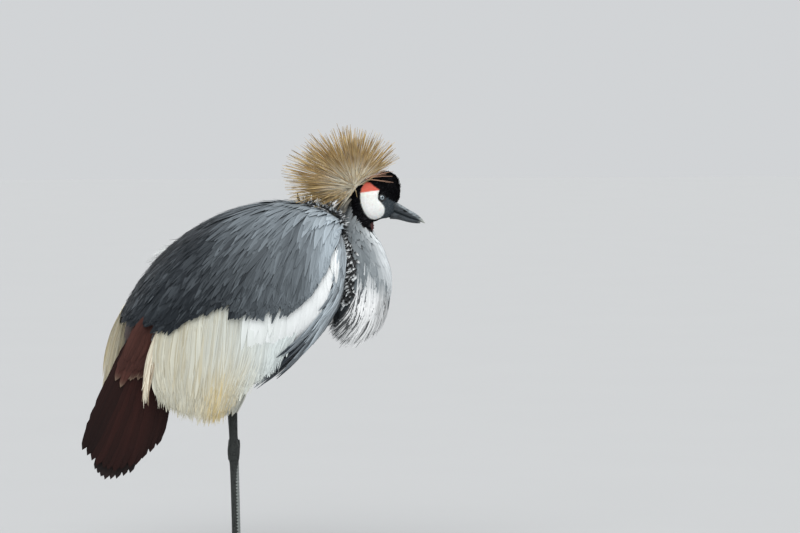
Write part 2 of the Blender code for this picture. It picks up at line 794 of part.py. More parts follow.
flights, thighs, legs, feet, claws = [], [], [], [], []
for side, word, ahead in ((-1, "right", 0.0), (1, "left", FAR_LEG_AHEAD)):
    secondaries = build_fan(
        "secondaries_" + word, side, SECONDARY_FAN, 8, 0.070, (0.0450, 0.0345), 0.0014, 0.0135,
        (-0.1700, 0.0455, 0.3840, 0.0190, 0.0140),
    )
    cut(secondaries, *body)
    primaries = build_fan(
        "primaries_" + word, side, PRIMARY_FAN, 4, 0.078, (0.0330, 0.0258), 0.0013, 0.0100,
        (-0.1740, 0.0330, 0.3740, 0.0140, 0.0080),
    )
    cut(primaries, *body)
    flights += [secondaries, primaries]
    thigh = build_thigh(side, word, ahead, body)
    leg, ankle = build_leg(side, word, ahead, thigh)
    foot, nails = build_foot(side, word, ankle, leg)
    thighs.append(thigh)
    legs.append(leg)
    feet.append(foot)
    claws += nails
tail = build_tail()
cut(tail, *body)

finish(material("slate_feather", (0.12, 0.15, 0.17), 0.75), mantle, torso)
finish(material("white_feather", (0.80, 0.82, 0.80), 0.8), *wings)
finish(material("pale_grey_feather", (0.45, 0.50, 0.53), 0.8), neck_upper, neck_lower, *thighs)
finish(material("maroon_feather", (0.055, 0.014, 0.010), 0.7), flights[0], flights[2])
finish(material("black_feather", (0.008, 0.008, 0.010), 0.8), head, tail, flights[1], flights[3])
finish(material("straw_crest", (0.42, 0.30, 0.12), 0.6), crest)
finish(material("bill_horn", (0.06, 0.07, 0.08), 0.4), *bill, *claws)
finish(material("leg_scale", (0.03, 0.035, 0.035), 0.5), *legs, *feet)
finish(material("iris", (0.5, 0.55, 0.58), 0.1), *eyes)
finish(material("red_skin", (0.45, 0.05, 0.03), 0.5), wattle)
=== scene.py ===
import math

import bpy
import numpy as np
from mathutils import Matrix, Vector
from mathutils.bvhtree import BVHTree


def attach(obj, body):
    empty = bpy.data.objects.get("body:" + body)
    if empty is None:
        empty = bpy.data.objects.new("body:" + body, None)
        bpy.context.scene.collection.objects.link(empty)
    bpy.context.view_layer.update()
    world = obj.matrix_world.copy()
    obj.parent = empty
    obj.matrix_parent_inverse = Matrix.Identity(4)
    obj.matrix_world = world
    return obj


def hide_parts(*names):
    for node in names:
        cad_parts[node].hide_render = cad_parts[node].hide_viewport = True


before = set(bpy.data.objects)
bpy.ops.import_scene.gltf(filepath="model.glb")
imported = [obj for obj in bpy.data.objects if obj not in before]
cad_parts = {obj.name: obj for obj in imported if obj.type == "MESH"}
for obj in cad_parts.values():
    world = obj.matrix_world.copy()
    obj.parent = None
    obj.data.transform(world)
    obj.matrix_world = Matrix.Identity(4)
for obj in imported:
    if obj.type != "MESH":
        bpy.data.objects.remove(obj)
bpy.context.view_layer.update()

# The skin is one closed surface of soft flesh from the crown to the thighs. It lies under the feathers
# by the depth of the coat and carries the same markings, and the bare white cheek and red patch are
# part of it. Slices give its shape: top x, top z, bottom x, bottom z and half width, in metres.
PLUMAGE = (
    (0.156, 0.545, 0.156, 0.512, 0.030),
    (0.136, 0.586, 0.154, 0.460, 0.078),
    (0.093, 0.605, 0.136, 0.412, 0.103),
    (0.041, 0.611, 0.095, 0.360, 0.116),
    (-0.015, 0.602, 0.036, 0.318, 0.120),
    (-0.073, 0.580, -0.025, 0.295, 0.115),
    (-0.125, 0.547, -0.082, 0.288, 0.102),
    (-0.168, 0.506, -0.130, 0.298, 0.084),
    (-0.199, 0.463, -0.164, 0.318, 0.063),
    (-0.219, 0.424, -0.186, 0.339, 0.042),
    (-0.225, 0.388, -0.206, 0.362, 0.022),
)
HEAD = (
    (0.152, 0.617, 0.154, 0.597, 0.006),
    (0.160, 0.633, 0.166, 0.580, 0.0165),
    (0.175, 0.643, 0.180, 0.572, 0.0200),
    (0.191, 0.646, 0.193, 0.573, 0.0205),
    (0.208, 0.640, 0.207, 0.577, 0.0185),
    (0.221, 0.626, 0.218, 0.579, 0.0140),
    (0.229, 0.612, 0.226, 0.580, 0.0100),
)
# The middle line of the neck: x, z, half depth, half width
NECK_LINE = (
    (0.182, 0.606, 0.014, 0.014),
    (0.173, 0.590, 0.022, 0.018),
    (0.166, 0.570, 0.026, 0.021),
    (0.166, 0.548, 0.031, 0.026),
    (0.170, 0.530, 0.037, 0.031),
    (0.173, 0.508, 0.043, 0.037),
    (0.176, 0.484, 0.047, 0.042),
    (0.175, 0.460, 0.047, 0.044),
    (0.168, 0.436, 0.043, 0.043),
    (0.156, 0.414, 0.034, 0.036),
    (0.146, 0.398, 0.020, 0.022),
)
# Below 1 it makes the slices somewhat fuller than ellipses.
ROUND_POWER = 0.92
EYE = Vector((0.2044, 0.0134, 0.6120))
EYE_RADIUS = 0.0068
LEG_AHEAD = {"right": 0.0, "left": 0.010}
LEG_FORE_AFT, LEG_APART = -0.040, 0.046
SIDES = {"right": -1, "left": 1}


def screen(red, green, blue):
    """A colour read as on a screen, 0 to 255, as the linear values that Blender mixes."""
    value = np.array((red, green, blue), float) / 255
    return np.where(value <= 0.04045, value / 12.92, ((value + 0.055) / 1.055) ** 2.4)


def smooth_rows(rows, share):
    """The rows read at any share from 0 to 1, on a smooth curve through all of them."""
    rows = np.asarray(rows, float)
    share = np.asarray(share, float)
    at = np.clip(share, 0, 1) * (len(rows) - 1)
    index = np.clip(at.astype(int), 0, len(rows) - 2)
    t = (at - index)[..., None]
    a, b, c, d = (rows[np.clip(index + k, 0, len(rows) - 1)] for k in (-1, 0, 1, 2))
    return b + 0.5 * t * (c - a + t * (2 * a - 5 * b + 4 * c - d + t * (3 * (b - c) + d - a)))


def stacked(*parts):
    """Arrays or single numbers side by side, as the last axis of one array."""
    return np.stack(np.broadcast_arrays(*parts), -1)


def slice_place(rows, along, angle):
    top_x, top_z, low_x, low_z, half = np.moveaxis(smooth_rows(rows, along), -1, 0)
    up = np.sign(np.cos(angle)) * np.abs(np.cos(angle)) ** ROUND_POWER
    wide = np.sign(np.sin(angle)) * np.abs(np.sin(angle)) ** ROUND_POWER
    x = (top_x + low_x) / 2 + (top_x - low_x) / 2 * up
    z = (top_z + low_z) / 2 + (top_z - low_z) / 2 * up
    return stacked(x, half * wide, z)


def unit(vectors):
    return vectors / np.maximum(np.linalg.norm(vectors, axis=-1, keepdims=True), 1e-9)


def over(rows, along, turn, lift=0.0, side=1):
    """Points over a sliced form and their outward directions. turn is in degrees from the top, and side
    is -1 on the right."""
    along, angle, lift = np.broadcast_arrays(along, np.radians(turn), lift)
    here = slice_place(rows, along, angle)
    round_way = slice_place(rows, along, angle + 0.01) - slice_place(rows, along, angle - 0.01)
    long_way = slice_place(rows, np.minimum(along + 0.01, 1), angle) - slice_place(
        rows, np.maximum(along - 0.01, 0), angle)
    out = unit(np.cross(round_way, long_way))
    middle = (slice_place(rows, along, angle * 0) + slice_place(rows, along, angle * 0 + math.pi)) / 2
    out = np.where(np.sum(out * (here - middle), -1, keepdims=True) < 0, -out, out)
    here = here + out * lift[..., None]
    mirror = np.array((1, side, 1))
    return here * mirror, out * mirror


def tube_slices(line):
    """A tube's middle line as slices, the nape as their top and the throat as their bottom."""
    line = np.array(line)
    way = unit(np.gradient(line[:, :2], axis=0))
    nape = line[:, :2] + stacked(way[:, 1], -way[:, 0]) * line[:, 2:3]
    throat = line[:, :2] - stacked(way[:, 1], -way[:, 0]) * line[:, 2:3]
    return np.concatenate([nape, throat, line[:, 3:]], -1)


NECK = tube_slices(NECK_LINE)


def take(name):
    """The new primitive as a named piece at the origin, its place in its mesh."""
    piece = bpy.context.object
    piece.name = piece.data.name = name
    bpy.ops.object.transform_apply(location=True, rotation=True, scale=True)
    piece.select_set(False)
    return piece


def ball(name, place=(0, 0, 0), radii=(1, 1, 1), segments=32, rings=20, turn=(0, 0, 0)):
    bpy.ops.object.select_all(action="DESELECT")
    bpy.ops.mesh.primitive_uv_sphere_add(
        segments=segments, ring_count=rings, radius=1, location=place, rotation=turn)
    bpy.context.object.scale = radii
    return take(name)


def coordinates(piece, kind="co"):
    """The places of a piece's points, or with "normal" the ways they face."""
    found = np.zeros(len(piece.data.vertices) * 3)
    piece.data.vertices.foreach_get(kind, found)
    return found.reshape(-1, 3)


def place_vertices(piece, points):
    piece.data.vertices.foreach_set("co", np.asarray(points, float).ravel())
    piece.data.update()


def ball_rows(piece, rings):
    """For each of a ball's points, its ring counted from the top, and its angle."""
    start = coordinates(piece)
    row = np.rint(np.arccos(np.clip(start[:, 2], -1, 1)) / math.pi * rings).astype(int)
    return row, np.arctan2(start[:, 1], start[:, 0])


def sliced_ball(name, rows, lift, segments, rings):
    """A ball drawn out over slices, its poles closing their two ends."""
    piece = ball(name, segments=segments, rings=rings)
    row, angle = ball_rows(piece, rings)
    share = np.clip((row - 1) / (rings - 2), 0, 1)
    points = over(rows, share, np.degrees(angle), lift)[0]
    for pole, ring in ((0, 1), (rings, rings - 1)):
        points[row == pole] = points[row == ring].mean(0)
    place_vertices(piece, points)
    return piece


def only(piece):
    """Selects one piece and makes it the active one."""
    bpy.ops.object.select_all(action="DESELECT")
    bpy.context.view_layer.objects.active = piece
    piece.select_set(True)


def apply_modifier(piece, kind, **settings):
    only(piece)
    modifier = piece.modifiers.new(kind.lower(), kind)
    for key, value in settings.items():
        setattr(modifier, key, value)
    bpy.ops.object.modifier_apply(modifier=modifier.name)
    piece.select_set(False)


def joined(name, pieces):
    only(pieces[0])
    for piece in pieces:
        piece.select_set(True)
    if len(pieces) > 1:
        bpy.ops.object.join()
    pieces[0].name = pieces[0].data.name = name
    pieces[0].select_set(False)
    return pieces[0]


def outward(piece):
    """Turns a closed shape's faces outwards."""
    only(piece)
    bpy.ops.object.mode_set(mode="EDIT")
    bpy.ops.mesh.select_all(action="SELECT")
    bpy.ops.mesh.remove_doubles(threshold=1e-6)
    bpy.ops.mesh.normals_make_consistent(inside=False)
    bpy.ops.object.mode_set(mode="OBJECT")
    bpy.ops.object.shade_smooth()
    piece.select_set(False)


class Field:
    """A number that changes over a surface. Python's operators on it add Math nodes."""

    def __init__(self, finish, socket):
        self.finish, self.socket = finish, socket

    def math(self, operation, *values):
        return self.finish.field("ShaderNodeMath", {"operation": operation}, dict(enumerate(values)))

    def __add__(self, other):
        return self.math("ADD", self, other)

    def __mul__(self, other):
        return self.math("MULTIPLY", self, other)

    def __sub__(self, other):
        return self.math("SUBTRACT", self, other)

    def __rsub__(self, other):
        return self.math("SUBTRACT", other, self)

    __radd__, __rmul__ = __add__, __mul__

    def size(self):
        return self.math("ABSOLUTE", self)

    def ramp(self, low, high):
        """0 below low and 1 above high, smooth between."""
        inputs = {"Value": self, "From Min": low, "From Max": high}
        return self.finish.field("ShaderNodeMapRange", {"interpolation_type": "SMOOTHSTEP"}, inputs)


class Finish:
    """A material. Constants go on its shader's own sockets, and node adds any other node."""

    def __init__(self, name, **constants):
        self.material = bpy.data.materials.new(name)
        self.material.use_nodes = True
        self.tree = self.material.node_tree
        self.shader = self.tree.nodes["Principled BSDF"]
        for key, value in constants.items():
            self.shader.inputs[key.replace("_", " ").title().replace("Ior", "IOR")].default_value = value

    def put(self, socket, value):
        value = value.socket if isinstance(value, Field) else value
        if isinstance(value, bpy.types.NodeSocket):
            self.tree.links.new(value, socket)
        elif getattr(socket, "type", "") == "RGBA":
            socket.default_value = (*value[:3], 1)
        else:
            socket.default_value = value

    def node(self, kind, settings, inputs):
        made = self.tree.nodes.new(kind)
        for key, value in settings.items():
            setattr(made, key, value)
        for key, value in inputs.items():
            self.put(made.inputs[key], value)
        return made

    def field(self, kind, settings, inputs, output=0):
        return Field(self, self.node(kind, settings, inputs).outputs[output])

    def spot(self):
        return self.node("ShaderNodeTexCoord", {}, {}).outputs["Object"]

    def split(self, position):
        """The parts of a position, each a number of its own."""
        parts = self.node("ShaderNodeSeparateXYZ", {}, {0: position}).outputs
        return [Field(self, part) for part in parts]

    def noise(self, scale, detail=3.0, position=None):
        inputs = {"Vector": position or self.spot(), "Scale": scale, "Detail": detail}
        return self.field("ShaderNodeTexNoise", {}, inputs, "Fac")

    def mix(self, share, first, second):
        inputs = {0: share, 6: first, 7: second}
        return self.node("ShaderNodeMix", {"data_type": "RGBA"}, inputs).outputs[2]

    def shade(self, colour, amount):
        """The colour made lighter or darker by a number near 1."""
        inputs = {0: colour, "Scale": amount}
        return self.node("ShaderNodeVectorMath", {"operation": "SCALE"}, inputs).outputs[0]

    def feed(self, socket, value):
        self.put(self.shader.inputs[socket], value)

    def colour(self, share, first, second):
        """The base colour as a mix of two."""
        self.feed("Base Color", self.mix(share, first, second))

    def bump(self, height, distance, strength=1.0):
        inputs = {"Height": height, "Distance": distance, "Strength": strength}
        self.feed("Normal", self.node("ShaderNodeBump", {}, inputs).outputs[0])

    def tint(self):
        """The piece's own colours, and in alpha a number that is each feather's own."""
        found = self.node("ShaderNodeAttribute", {"attribute_name": "Tint"}, {})
        return found.outputs["Color"], Field(self, found.outputs["Alpha"])


def colour_vertices(piece, colours, alpha=1.0):
    attribute = piece.data.color_attributes.new("Tint", "FLOAT_COLOR", "POINT")
    full = np.ones((len(piece.data.vertices), 4))
    full[:, :3] = colours
    full[:, 3] = alpha
    attribute.data.foreach_set("color", full.ravel())


def blend(share, first, second):
    share = np.asarray(share)[..., None]
    return first * (1 - share) + second * share


def step(value, low, high):
    t = np.clip((value - low) / (high - low), 0, 1)
    return t * t * (3 - 2 * t)


def inside(outline, x, z):
    """How far points lie inside a closed outline, in metres, negative outside it."""
    outline = np.array(outline)
    points = stacked(x, z)
    nearest = np.full(x.shape, 1e9)
    within = np.zeros(x.shape, bool)
    for start, end in zip(outline, np.roll(outline, -1, axis=0)):
        run = end - start
        share = np.clip(((points - start) @ run) / (run @ run), 0, 1)
        nearest = np.minimum(nearest, np.linalg.norm(points - start - share[..., None] * run, axis=-1))
        crosses = (start[1] > z) != (end[1] > z)
        rise = end[1] - start[1] if end[1] != start[1] else 1e-9
        within ^= crosses & (x < start[0] + (z - start[1]) * run[0] / rise)
    return np.where(within, nearest, -nearest)


# Outlines on the side of the face: x, z
CHEEK = (
    (0.1700, 0.6200), (0.1697, 0.6112), (0.1706, 0.6044), (0.1729, 0.5968), (0.1766, 0.5890),
    (0.1817, 0.5822), (0.1878, 0.5780), (0.1947, 0.5762), (0.2015, 0.5772), (0.2067, 0.5814),
    (0.2094, 0.5874), (0.2097, 0.5942), (0.2076, 0.5993), (0.2041, 0.6031), (0.2015, 0.6062),
    (0.1996, 0.6112), (0.1994, 0.6172), (0.2012, 0.6240), (0.1870, 0.6228),
)
RED_PATCH = (
    (0.1698, 0.6185), (0.1870, 0.6212), (0.2012, 0.6230), (0.2010, 0.6252), (0.1947, 0.6295),
    (0.1878, 0.6351), (0.1809, 0.6394), (0.1775, 0.6355), (0.1718, 0.6274),
)
# The white part of the folded wing, seen from the side: x, z
WHITE_PART = (
    (0.1195, 0.5280), (0.1261, 0.4747), (0.1146, 0.4390), (0.0885, 0.3969), (0.0655, 0.3661),
    (0.0377, 0.3386), (0.0050, 0.3127), (-0.0261, 0.2997), (-0.0965, 0.2851), (-0.1570, 0.3742),
    (-0.0965, 0.4277), (-0.0015, 0.4390), (0.0541, 0.4471), (0.0885, 0.4714),
)
# The throat's line at some heights
THROAT_Z = (0.411, 0.434, 0.463, 0.493, 0.520, 0.544, 0.557)
THROAT_X = (0.2045, 0.2176, 0.2241, 0.2225, 0.2143, 0.2012, 0.1914)
SKIN_GRID = 0.0030
# The head is what lies ahead of this x and above this z.
HEAD_X, HEAD_Z = 0.150, 0.560


def black_zone(x, z):
    """1 where the head is velvet black, 0 on the grey of the nape and neck."""
    return step(x, 0.1560, 0.1600) * step(z + 1.26 * np.clip(x - 0.1738, -0.0115, 0.0135), 0.5678, 0.5728)


def lore_zone(x, z):
    """1 between the eye, the cheek and the bill, where the face is slate grey."""
    return step(x, 0.2030, 0.2060) * step(0.6165 - 0.4255 * (x - 0.2095) - z, -0.0005, 0.0015)


def eye_gap(x, z):
    return np.hypot(x - EYE.x, z - EYE.z)


def dress(piece, finish, slot, *replaced):
    """Gives a piece its finish and hides the solids that it stands for. Its slot is not used."""
    piece.data.materials.clear()
    piece.data.materials.append(finish.material)
    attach(piece, "root")
    if replaced:
        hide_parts(*replaced)


flesh = [
    sliced_ball("skin", PLUMAGE, -0.0125, 72, 48),
    sliced_ball("skin_neck", NECK, -0.0035, 48, 40),
    sliced_ball("skin_head", HEAD, 0.0, 48, 36),
    ball("skin_brow", (0.2150, 0, 0.6280), (0.0218, 0.0158, 0.0246)),
    ball("skin_brow_front", (0.2228, 0, 0.6165), (0.0135, 0.0120, 0.0150)),
]
for word, side in SIDES.items():
    middle = (LEG_FORE_AFT + LEG_AHEAD[word] * 0.5, side * LEG_APART * 0.92, 0.320)
    flesh.append(ball("skin_thigh", middle, (0.024, 0.016, 0.047)))
skin = joined("skin", flesh)
apply_modifier(skin, "REMESH", mode="VOXEL", voxel_size=SKIN_GRID)
apply_modifier(skin, "SMOOTH", factor=0.5, iterations=5)
# The head gets a finer grid, for its markings.
only(skin)
points = coordinates(skin)
for index in np.flatnonzero((points[:, 0] > HEAD_X) & (points[:, 2] > HEAD_Z)):
    skin.data.vertices[index].select = True
bpy.ops.object.mode_set(mode="EDIT")
bpy.ops.mesh.select_mode(type="VERT")
bpy.ops.mesh.subdivide(number_cuts=1, smoothness=0.6)
bpy.ops.object.mode_set(mode="OBJECT")
bpy.ops.object.shade_smooth()
skin.select_set(False)

points = coordinates(skin)
normals = coordinates(skin, "normal")
x, y, z = points.T
face_side = step(np.abs(y), 0.006, 0.010)
cheek = step(inside(CHEEK, x, z), -0.0008, 0.0008) * face_side
red = step(inside(RED_PATCH, x, z), -0.0008, 0.0008) * face_side
swell = step(inside(CHEEK, x, z), -0.0002, 0.006) * face_side
wrinkle = np.sin(x * 1500 + np.sin(z * 700) * 2) * np.sin(z * 1300 + np.sin(x * 900) * 2)
points += normals * (swell * 0.0012 + (cheek + red) * wrinkle * 0.00012)[:, None]
points[:, 1] -= np.sign(y) * step(eye_gap(x, z), 0.0085, 0.0050) * face_side * 0.0016
place_vertices(skin, points)
on_neck = step(x, 0.128, 0.150) * step(z, 0.43, 0.45)
throat = np.interp(z, THROAT_Z, THROAT_X)
colours = blend(step(z - 0.35 - 0.6 * x, 0.02, 0.08), screen(150, 158, 164), screen(70, 78, 86))
for share, colour in (
    (step(inside(WHITE_PART, x, z), -0.003, 0.002), screen(216, 220, 216)),
    (on_neck, screen(104, 108, 110)),
    (on_neck * step(x - throat, -0.038, -0.006), screen(222, 229, 231)),
    (step(-x, 0.150, 0.175), screen(44, 22, 19)),
    (black_zone(x, z), screen(7, 7, 8)),
    (lore_zone(x, z), screen(58, 65, 71)),
    (red, screen(222, 98, 76)),
    (cheek, screen(244, 246, 243)),
):
    colours = blend(share, colours, colour)
colour_vertices(skin, colours, step(cheek + red, 0.2, 0.8))

skin_finish = Finish(
    "bare_skin", roughness=0.55, subsurface_weight=0.12, subsurface_radius=(0.004, 0.002, 0.0012))
colour, bare = skin_finish.tint()
mottle = skin_finish.noise(420.0, 4.0)
flush = bare * skin_finish.noise(160.0).ramp(0.52, 0.75) * 0.16
skin_finish.colour(flush, skin_finish.shade(colour, 0.86 + mottle * 0.28), screen(214, 150, 140))
inputs = {"Scale": 900.0, "Vector": skin_finish.spot()}
cells = skin_finish.field("ShaderNodeTexVoronoi", {}, inputs, "Distance")
skin_finish.bump(cells * 0.6 + mottle, 0.0004, 0.5)
dress(skin, skin_finish, "pale_grey_feather",
      "torso", "neck_upper", "neck_lower", "head", "thigh_right", "thigh_left")

# The cape is the slate grey plumage of the back and shoulders: some thousands of long, narrow, loose
# feathers in rows like shingles, each a thin horn vane with a shaft, rooted in the skin.
# CAPE_RUN has where its feathers start and end, as shares along the body and degrees from the spine.
CAPE_RUN = (
    (0.05, 35, 0.13, 52),
    (0.07, 26, 0.19, 79),
    (0.09, 20, 0.26, 97),
    (0.12, 15, 0.34, 104),
    (0.15, 11, 0.43, 99),
    (0.18, 8, 0.52, 89),
    (0.21, 6, 0.60, 87),
    (0.24, 4, 0.70, 91),
    (0.27, 3, 0.78, 80),
    (0.29, 1.5, 0.86, 58),
    (0.31, -3, 0.91, 28),
    (0.33, -5, 0.91, -5),
)
# The width of each feather's patch on the bake's map
PATCH = 0.003


def shares(count):
    """So many numbers, evenly from 0 to 1."""
    return np.linspace(0, 1, count)


def for_rings(values, shape):
    """Values for every ring, from values for every ring, for each feather or for all feathers."""
    values = np.asarray(values, float)
    return np.broadcast_to(values[:, None] if values.ndim == 2 else values, shape)


def vanes(line, out, half, tint, root, columns=3, cup=0.22, thick=0.0005, ragged=0.12, seed=1):
    """One mesh of closed, thin feathers, one along each row of line, with a raised shaft. Each feather
    has its own patch of the bake's map, at its root's place on the unrolled skin."""
    chance = np.random.default_rng(seed)
    count, rings = line.shape[:2]
    half = np.broadcast_to(half, (count, rings))
    way = unit(np.gradient(line, axis=1))
    aside = unit(np.cross(way, for_rings(out, line.shape)))
    up = np.cross(aside, way)
    along = shares(rings + 1)
    across = np.concatenate([np.linspace(-1, 1, columns), np.linspace(1, -1, columns)[1:-1]])
    around = len(across)
    below = np.arange(around) >= columns
    body = thick * (1 - 0.6 * along[:rings])[None, :, None] * (1 - np.abs(across)) ** 0.6
    height = -cup * half[:, :, None] * across**2 + np.where(below, -body, body * 0.35)
    wide = half[:, :, None] * across * (1 + ragged * chance.uniform(-1, 1, (count, rings, around)))
    shape = line[:, :, None] + aside[:, :, None] * wide[..., None] + up[:, :, None] * height[..., None]
    tips = line[:, -1] + way[:, -1] * half[:, -1:] * 1.6
    each = rings * around + 1
    points = np.concatenate([shape.reshape(count, -1, 3), tips[:, None]], 1)

    ring = np.arange(around)
    beside = (ring + 1) % around
    rows = np.arange(rings - 1)[:, None] * around
    first, second = (rows + ring).ravel(), (rows + beside).ravel()
    quads = stacked(first, second, second + around, first + around)
    last = (rings - 1) * around
    end_faces = stacked(last + ring, last + beside, each - 1)
    loops = np.concatenate([quads.ravel(), end_faces.ravel(), ring[::-1]])
    sizes = np.concatenate([np.full(len(quads), 4), np.full(around, 3), [around]])
    starts = np.cumsum(sizes) - sizes
    flat_across = np.append(np.tile((across + 1) / 2, rings), 0.5)
    flat_along = np.append(np.repeat(along[:rings], around), 1.0)
    # Where a face closes the way round, its far corners count as 1 and not as 0.
    spin = np.append(np.tile(ring / around, rings), 0.5)[loops]
    square = np.repeat(sizes == 4, sizes)
    seam = spin[square].reshape(-1, 4)
    seam[(np.ptp(seam, axis=1, keepdims=True) > 0.6) & (seam < 0.3)] = 1.0
    spin[square] = seam.ravel()

    mesh = bpy.data.meshes.new("vanes")
    mesh.vertices.add(count * each)
    mesh.vertices.foreach_set("co", points.ravel())
    shift = np.arange(count)[:, None]
    mesh.loops.add(count * len(loops))
    mesh.loops.foreach_set("vertex_index", (loops + shift * each).ravel().astype(np.int32))
    mesh.polygons.add(count * len(sizes))
    mesh.polygons.foreach_set("loop_start", (starts + shift * len(loops)).ravel().astype(np.int32))
    mesh.polygons.foreach_set("use_smooth", np.ones(count * len(sizes), bool))
    feather_map = mesh.uv_layers.new(name="Feather")
    flat = stacked(flat_across[loops], flat_along[loops])
    feather_map.data.foreach_set("uv", np.tile(flat, (count, 1)).ravel())
    bake_map = mesh.uv_layers.new(name="OFBake")
    spot = stacked(spin, flat_along[loops]) * PATCH
    places = np.clip(stacked(*root), 0, 1) * (1 - PATCH)
    bake_map.data.foreach_set("uv", (places[:, None] + spot).ravel())
    mesh.uv_layers.active = feather_map
    feather_map.active_render = True
    mesh.update(calc_edges=True)
    mesh.validate()
    # A vane's two rims are sharp, so that it shades as a flat ribbon and not as a rod.
    ends = np.zeros(len(mesh.edges) * 2, np.int32)
    mesh.edges.foreach_get("vertices", ends)
    ends = ends.reshape(-1, 2) % each
    rim = (ends == each - 1) | (ends % around == 0) | (ends % around == columns - 1)
    mesh.attributes.new("sharp_edge", "BOOLEAN", "EDGE").data.foreach_set("value", rim.all(1))
    piece = bpy.data.objects.new("vanes", mesh)
    bpy.context.scene.collection.objects.link(piece)
    tint = for_rings(tint, (count, rings + 1, 3))
    full = np.concatenate([np.repeat(tint[:, :rings], around, axis=1), tint[:, rings:]], 1)
    colour_vertices(piece, full.reshape(-1, 3), np.repeat(chance.random(count), each))
    return piece


def on_run(run, share, f):
    """Where a line of a run is, at the share f of its length: the share along the body and the turn."""
    start_along, start_turn, end_along, end_turn = np.moveaxis(smooth_rows(run, share), -1, 0)
    return start_along + (end_along - start_along) * f, start_turn + (end_turn - start_turn) * f


def run_place(run, side):
    def place(share, f, lift=0.0):
        along, turn = on_run(run, share, f)
        return over(PLUMAGE, np.clip(along, 0, 1), turn, lift, side)
    return place


def spread(place, density, chance, start=0.0, stop=1.0, cells=(44, 26)):
    """Roots scattered evenly over a patch, so many to the square metre: their shares across and along."""
    across, down = cells
    s, f = np.meshgrid(shares(across + 1), np.linspace(start, stop, down + 1), indexing="ij")
    grid = place(s, f)[0]
    area = np.linalg.norm(np.cross(grid[1:, :-1] - grid[:-1, :-1], grid[:-1, 1:] - grid[:-1, :-1]), axis=-1)
    number = np.floor(area * density + chance.random(area.shape)).astype(int)
    index = np.repeat(np.arange(area.size), number.ravel())
    s = (index // down + chance.random(len(index))) / across
    f = start + (stop - start) * (index % down + chance.random(len(index))) / down
    return s, f


def grow(place, s, f, length, lifts, rings, chance, end=None, drift=0.0, roll=0.12, sway=0.03):
    """The middle lines of feathers that grow at s, f and follow the flow, and the way each faces."""
    speed = np.linalg.norm(place(s, f + 0.02)[0] - place(s, f)[0], axis=-1) / 0.02
    reach = length / np.maximum(speed, 0.02)
    if end is not None:
        reach = np.minimum(reach, np.maximum(end - f, 0.05))
    t = shares(rings)
    lift = np.interp(t, (0, 0.15, 0.5, 1), lifts)[None] + chance.normal(0, 0.0004, len(s))[:, None] * t
    wander = drift + chance.normal(0, sway, len(s))
    line, out = place(s[:, None] + wander[:, None] * t * 0.5, f[:, None] + reach[:, None] * t, lift)
    way = unit(np.gradient(line, axis=1))
    tilt = chance.normal(0, roll, len(s))[:, None, None]
    return line, unit(out + np.cross(way, out) * tilt)


def profile(rings, *shape):
    """The width of a vane along its length, from shares of its widest place."""
    return np.interp(shares(rings), shares(len(shape)), shape)


def root_shaded(tint, first, last, rings):
    """The feathers' tints, darkened towards their roots as painted shade where they lie under other feathers,
    and a little lighter at their tips.
    """
    return tint[:, None] * np.linspace(first, last, rings + 1)[:, None]


def feather_finish(name, strands=12.0, contrast=0.30, edge=-0.10, shaft=-0.10, roughness=0.6, fine=0.5,
                   spread=0.16, sheen=0.15, gloss=0.25):
    """A feather's finish: its tint, fine strands along it, a shaft, its edges, and a shade of its own. Edges
    are lighter for pale margins where edge is above 0, and darker as painted shade between overlapping
    feathers where it is below 0.
    """
    finish = Finish(
        name, roughness=roughness, sheen_weight=sheen, sheen_roughness=0.5, specular_ior_level=gloss)
    colour, own = finish.tint()
    feather_map = finish.node("ShaderNodeUVMap", {"uv_map": "Feather"}, {}).outputs[0]
    sideways, along = finish.split(feather_map)[:2]
    middle = sideways - 0.5
    across = middle.size() * 2.0
    inputs = {0: middle * strands, 1: along * 1.6 + across * 0.8, 2: own * 60.0}
    strand = finish.noise(1.6, 3.0, finish.node("ShaderNodeCombineXYZ", {}, inputs).outputs[0])
    # Edges made darker are painted shade between overlapping feathers; edges made lighter are pale margins.
    amount = 1.0 + (strand - 0.5) * (2.0 * contrast) + across.ramp(0.5, 1.0) * edge
    amount = amount + (1.0 - across.ramp(0.04, 0.16)) * shaft
    amount = amount * ((1.0 - 0.5 * spread) + own * spread)
    finish.feed("Base Color", finish.shade(colour, amount))
    finish.bump(strand, 0.0012, fine)
    return finish


def plumage(name, layers, finish, slot, *replaced):
    dress(joined(name, layers), finish, slot, *replaced)


def patches(s, f, scale, seed):
    """A slow, even wander between -1 and 1 over a patch of plumage."""
    chance = np.random.default_rng(seed)
    total = 0
    for turn in chance.uniform(0, 6.28, 5):
        total = total + np.sin(scale * (s * np.cos(turn) + f * 0.45 * np.sin(turn)) + chance.uniform(0, 6.28))
    return total / 3


cape_finish = feather_finish("slate_feather", 12.0, 0.20, 0.16, -0.10, 0.55, 0.4, 0.08, 0.04, 0.14)
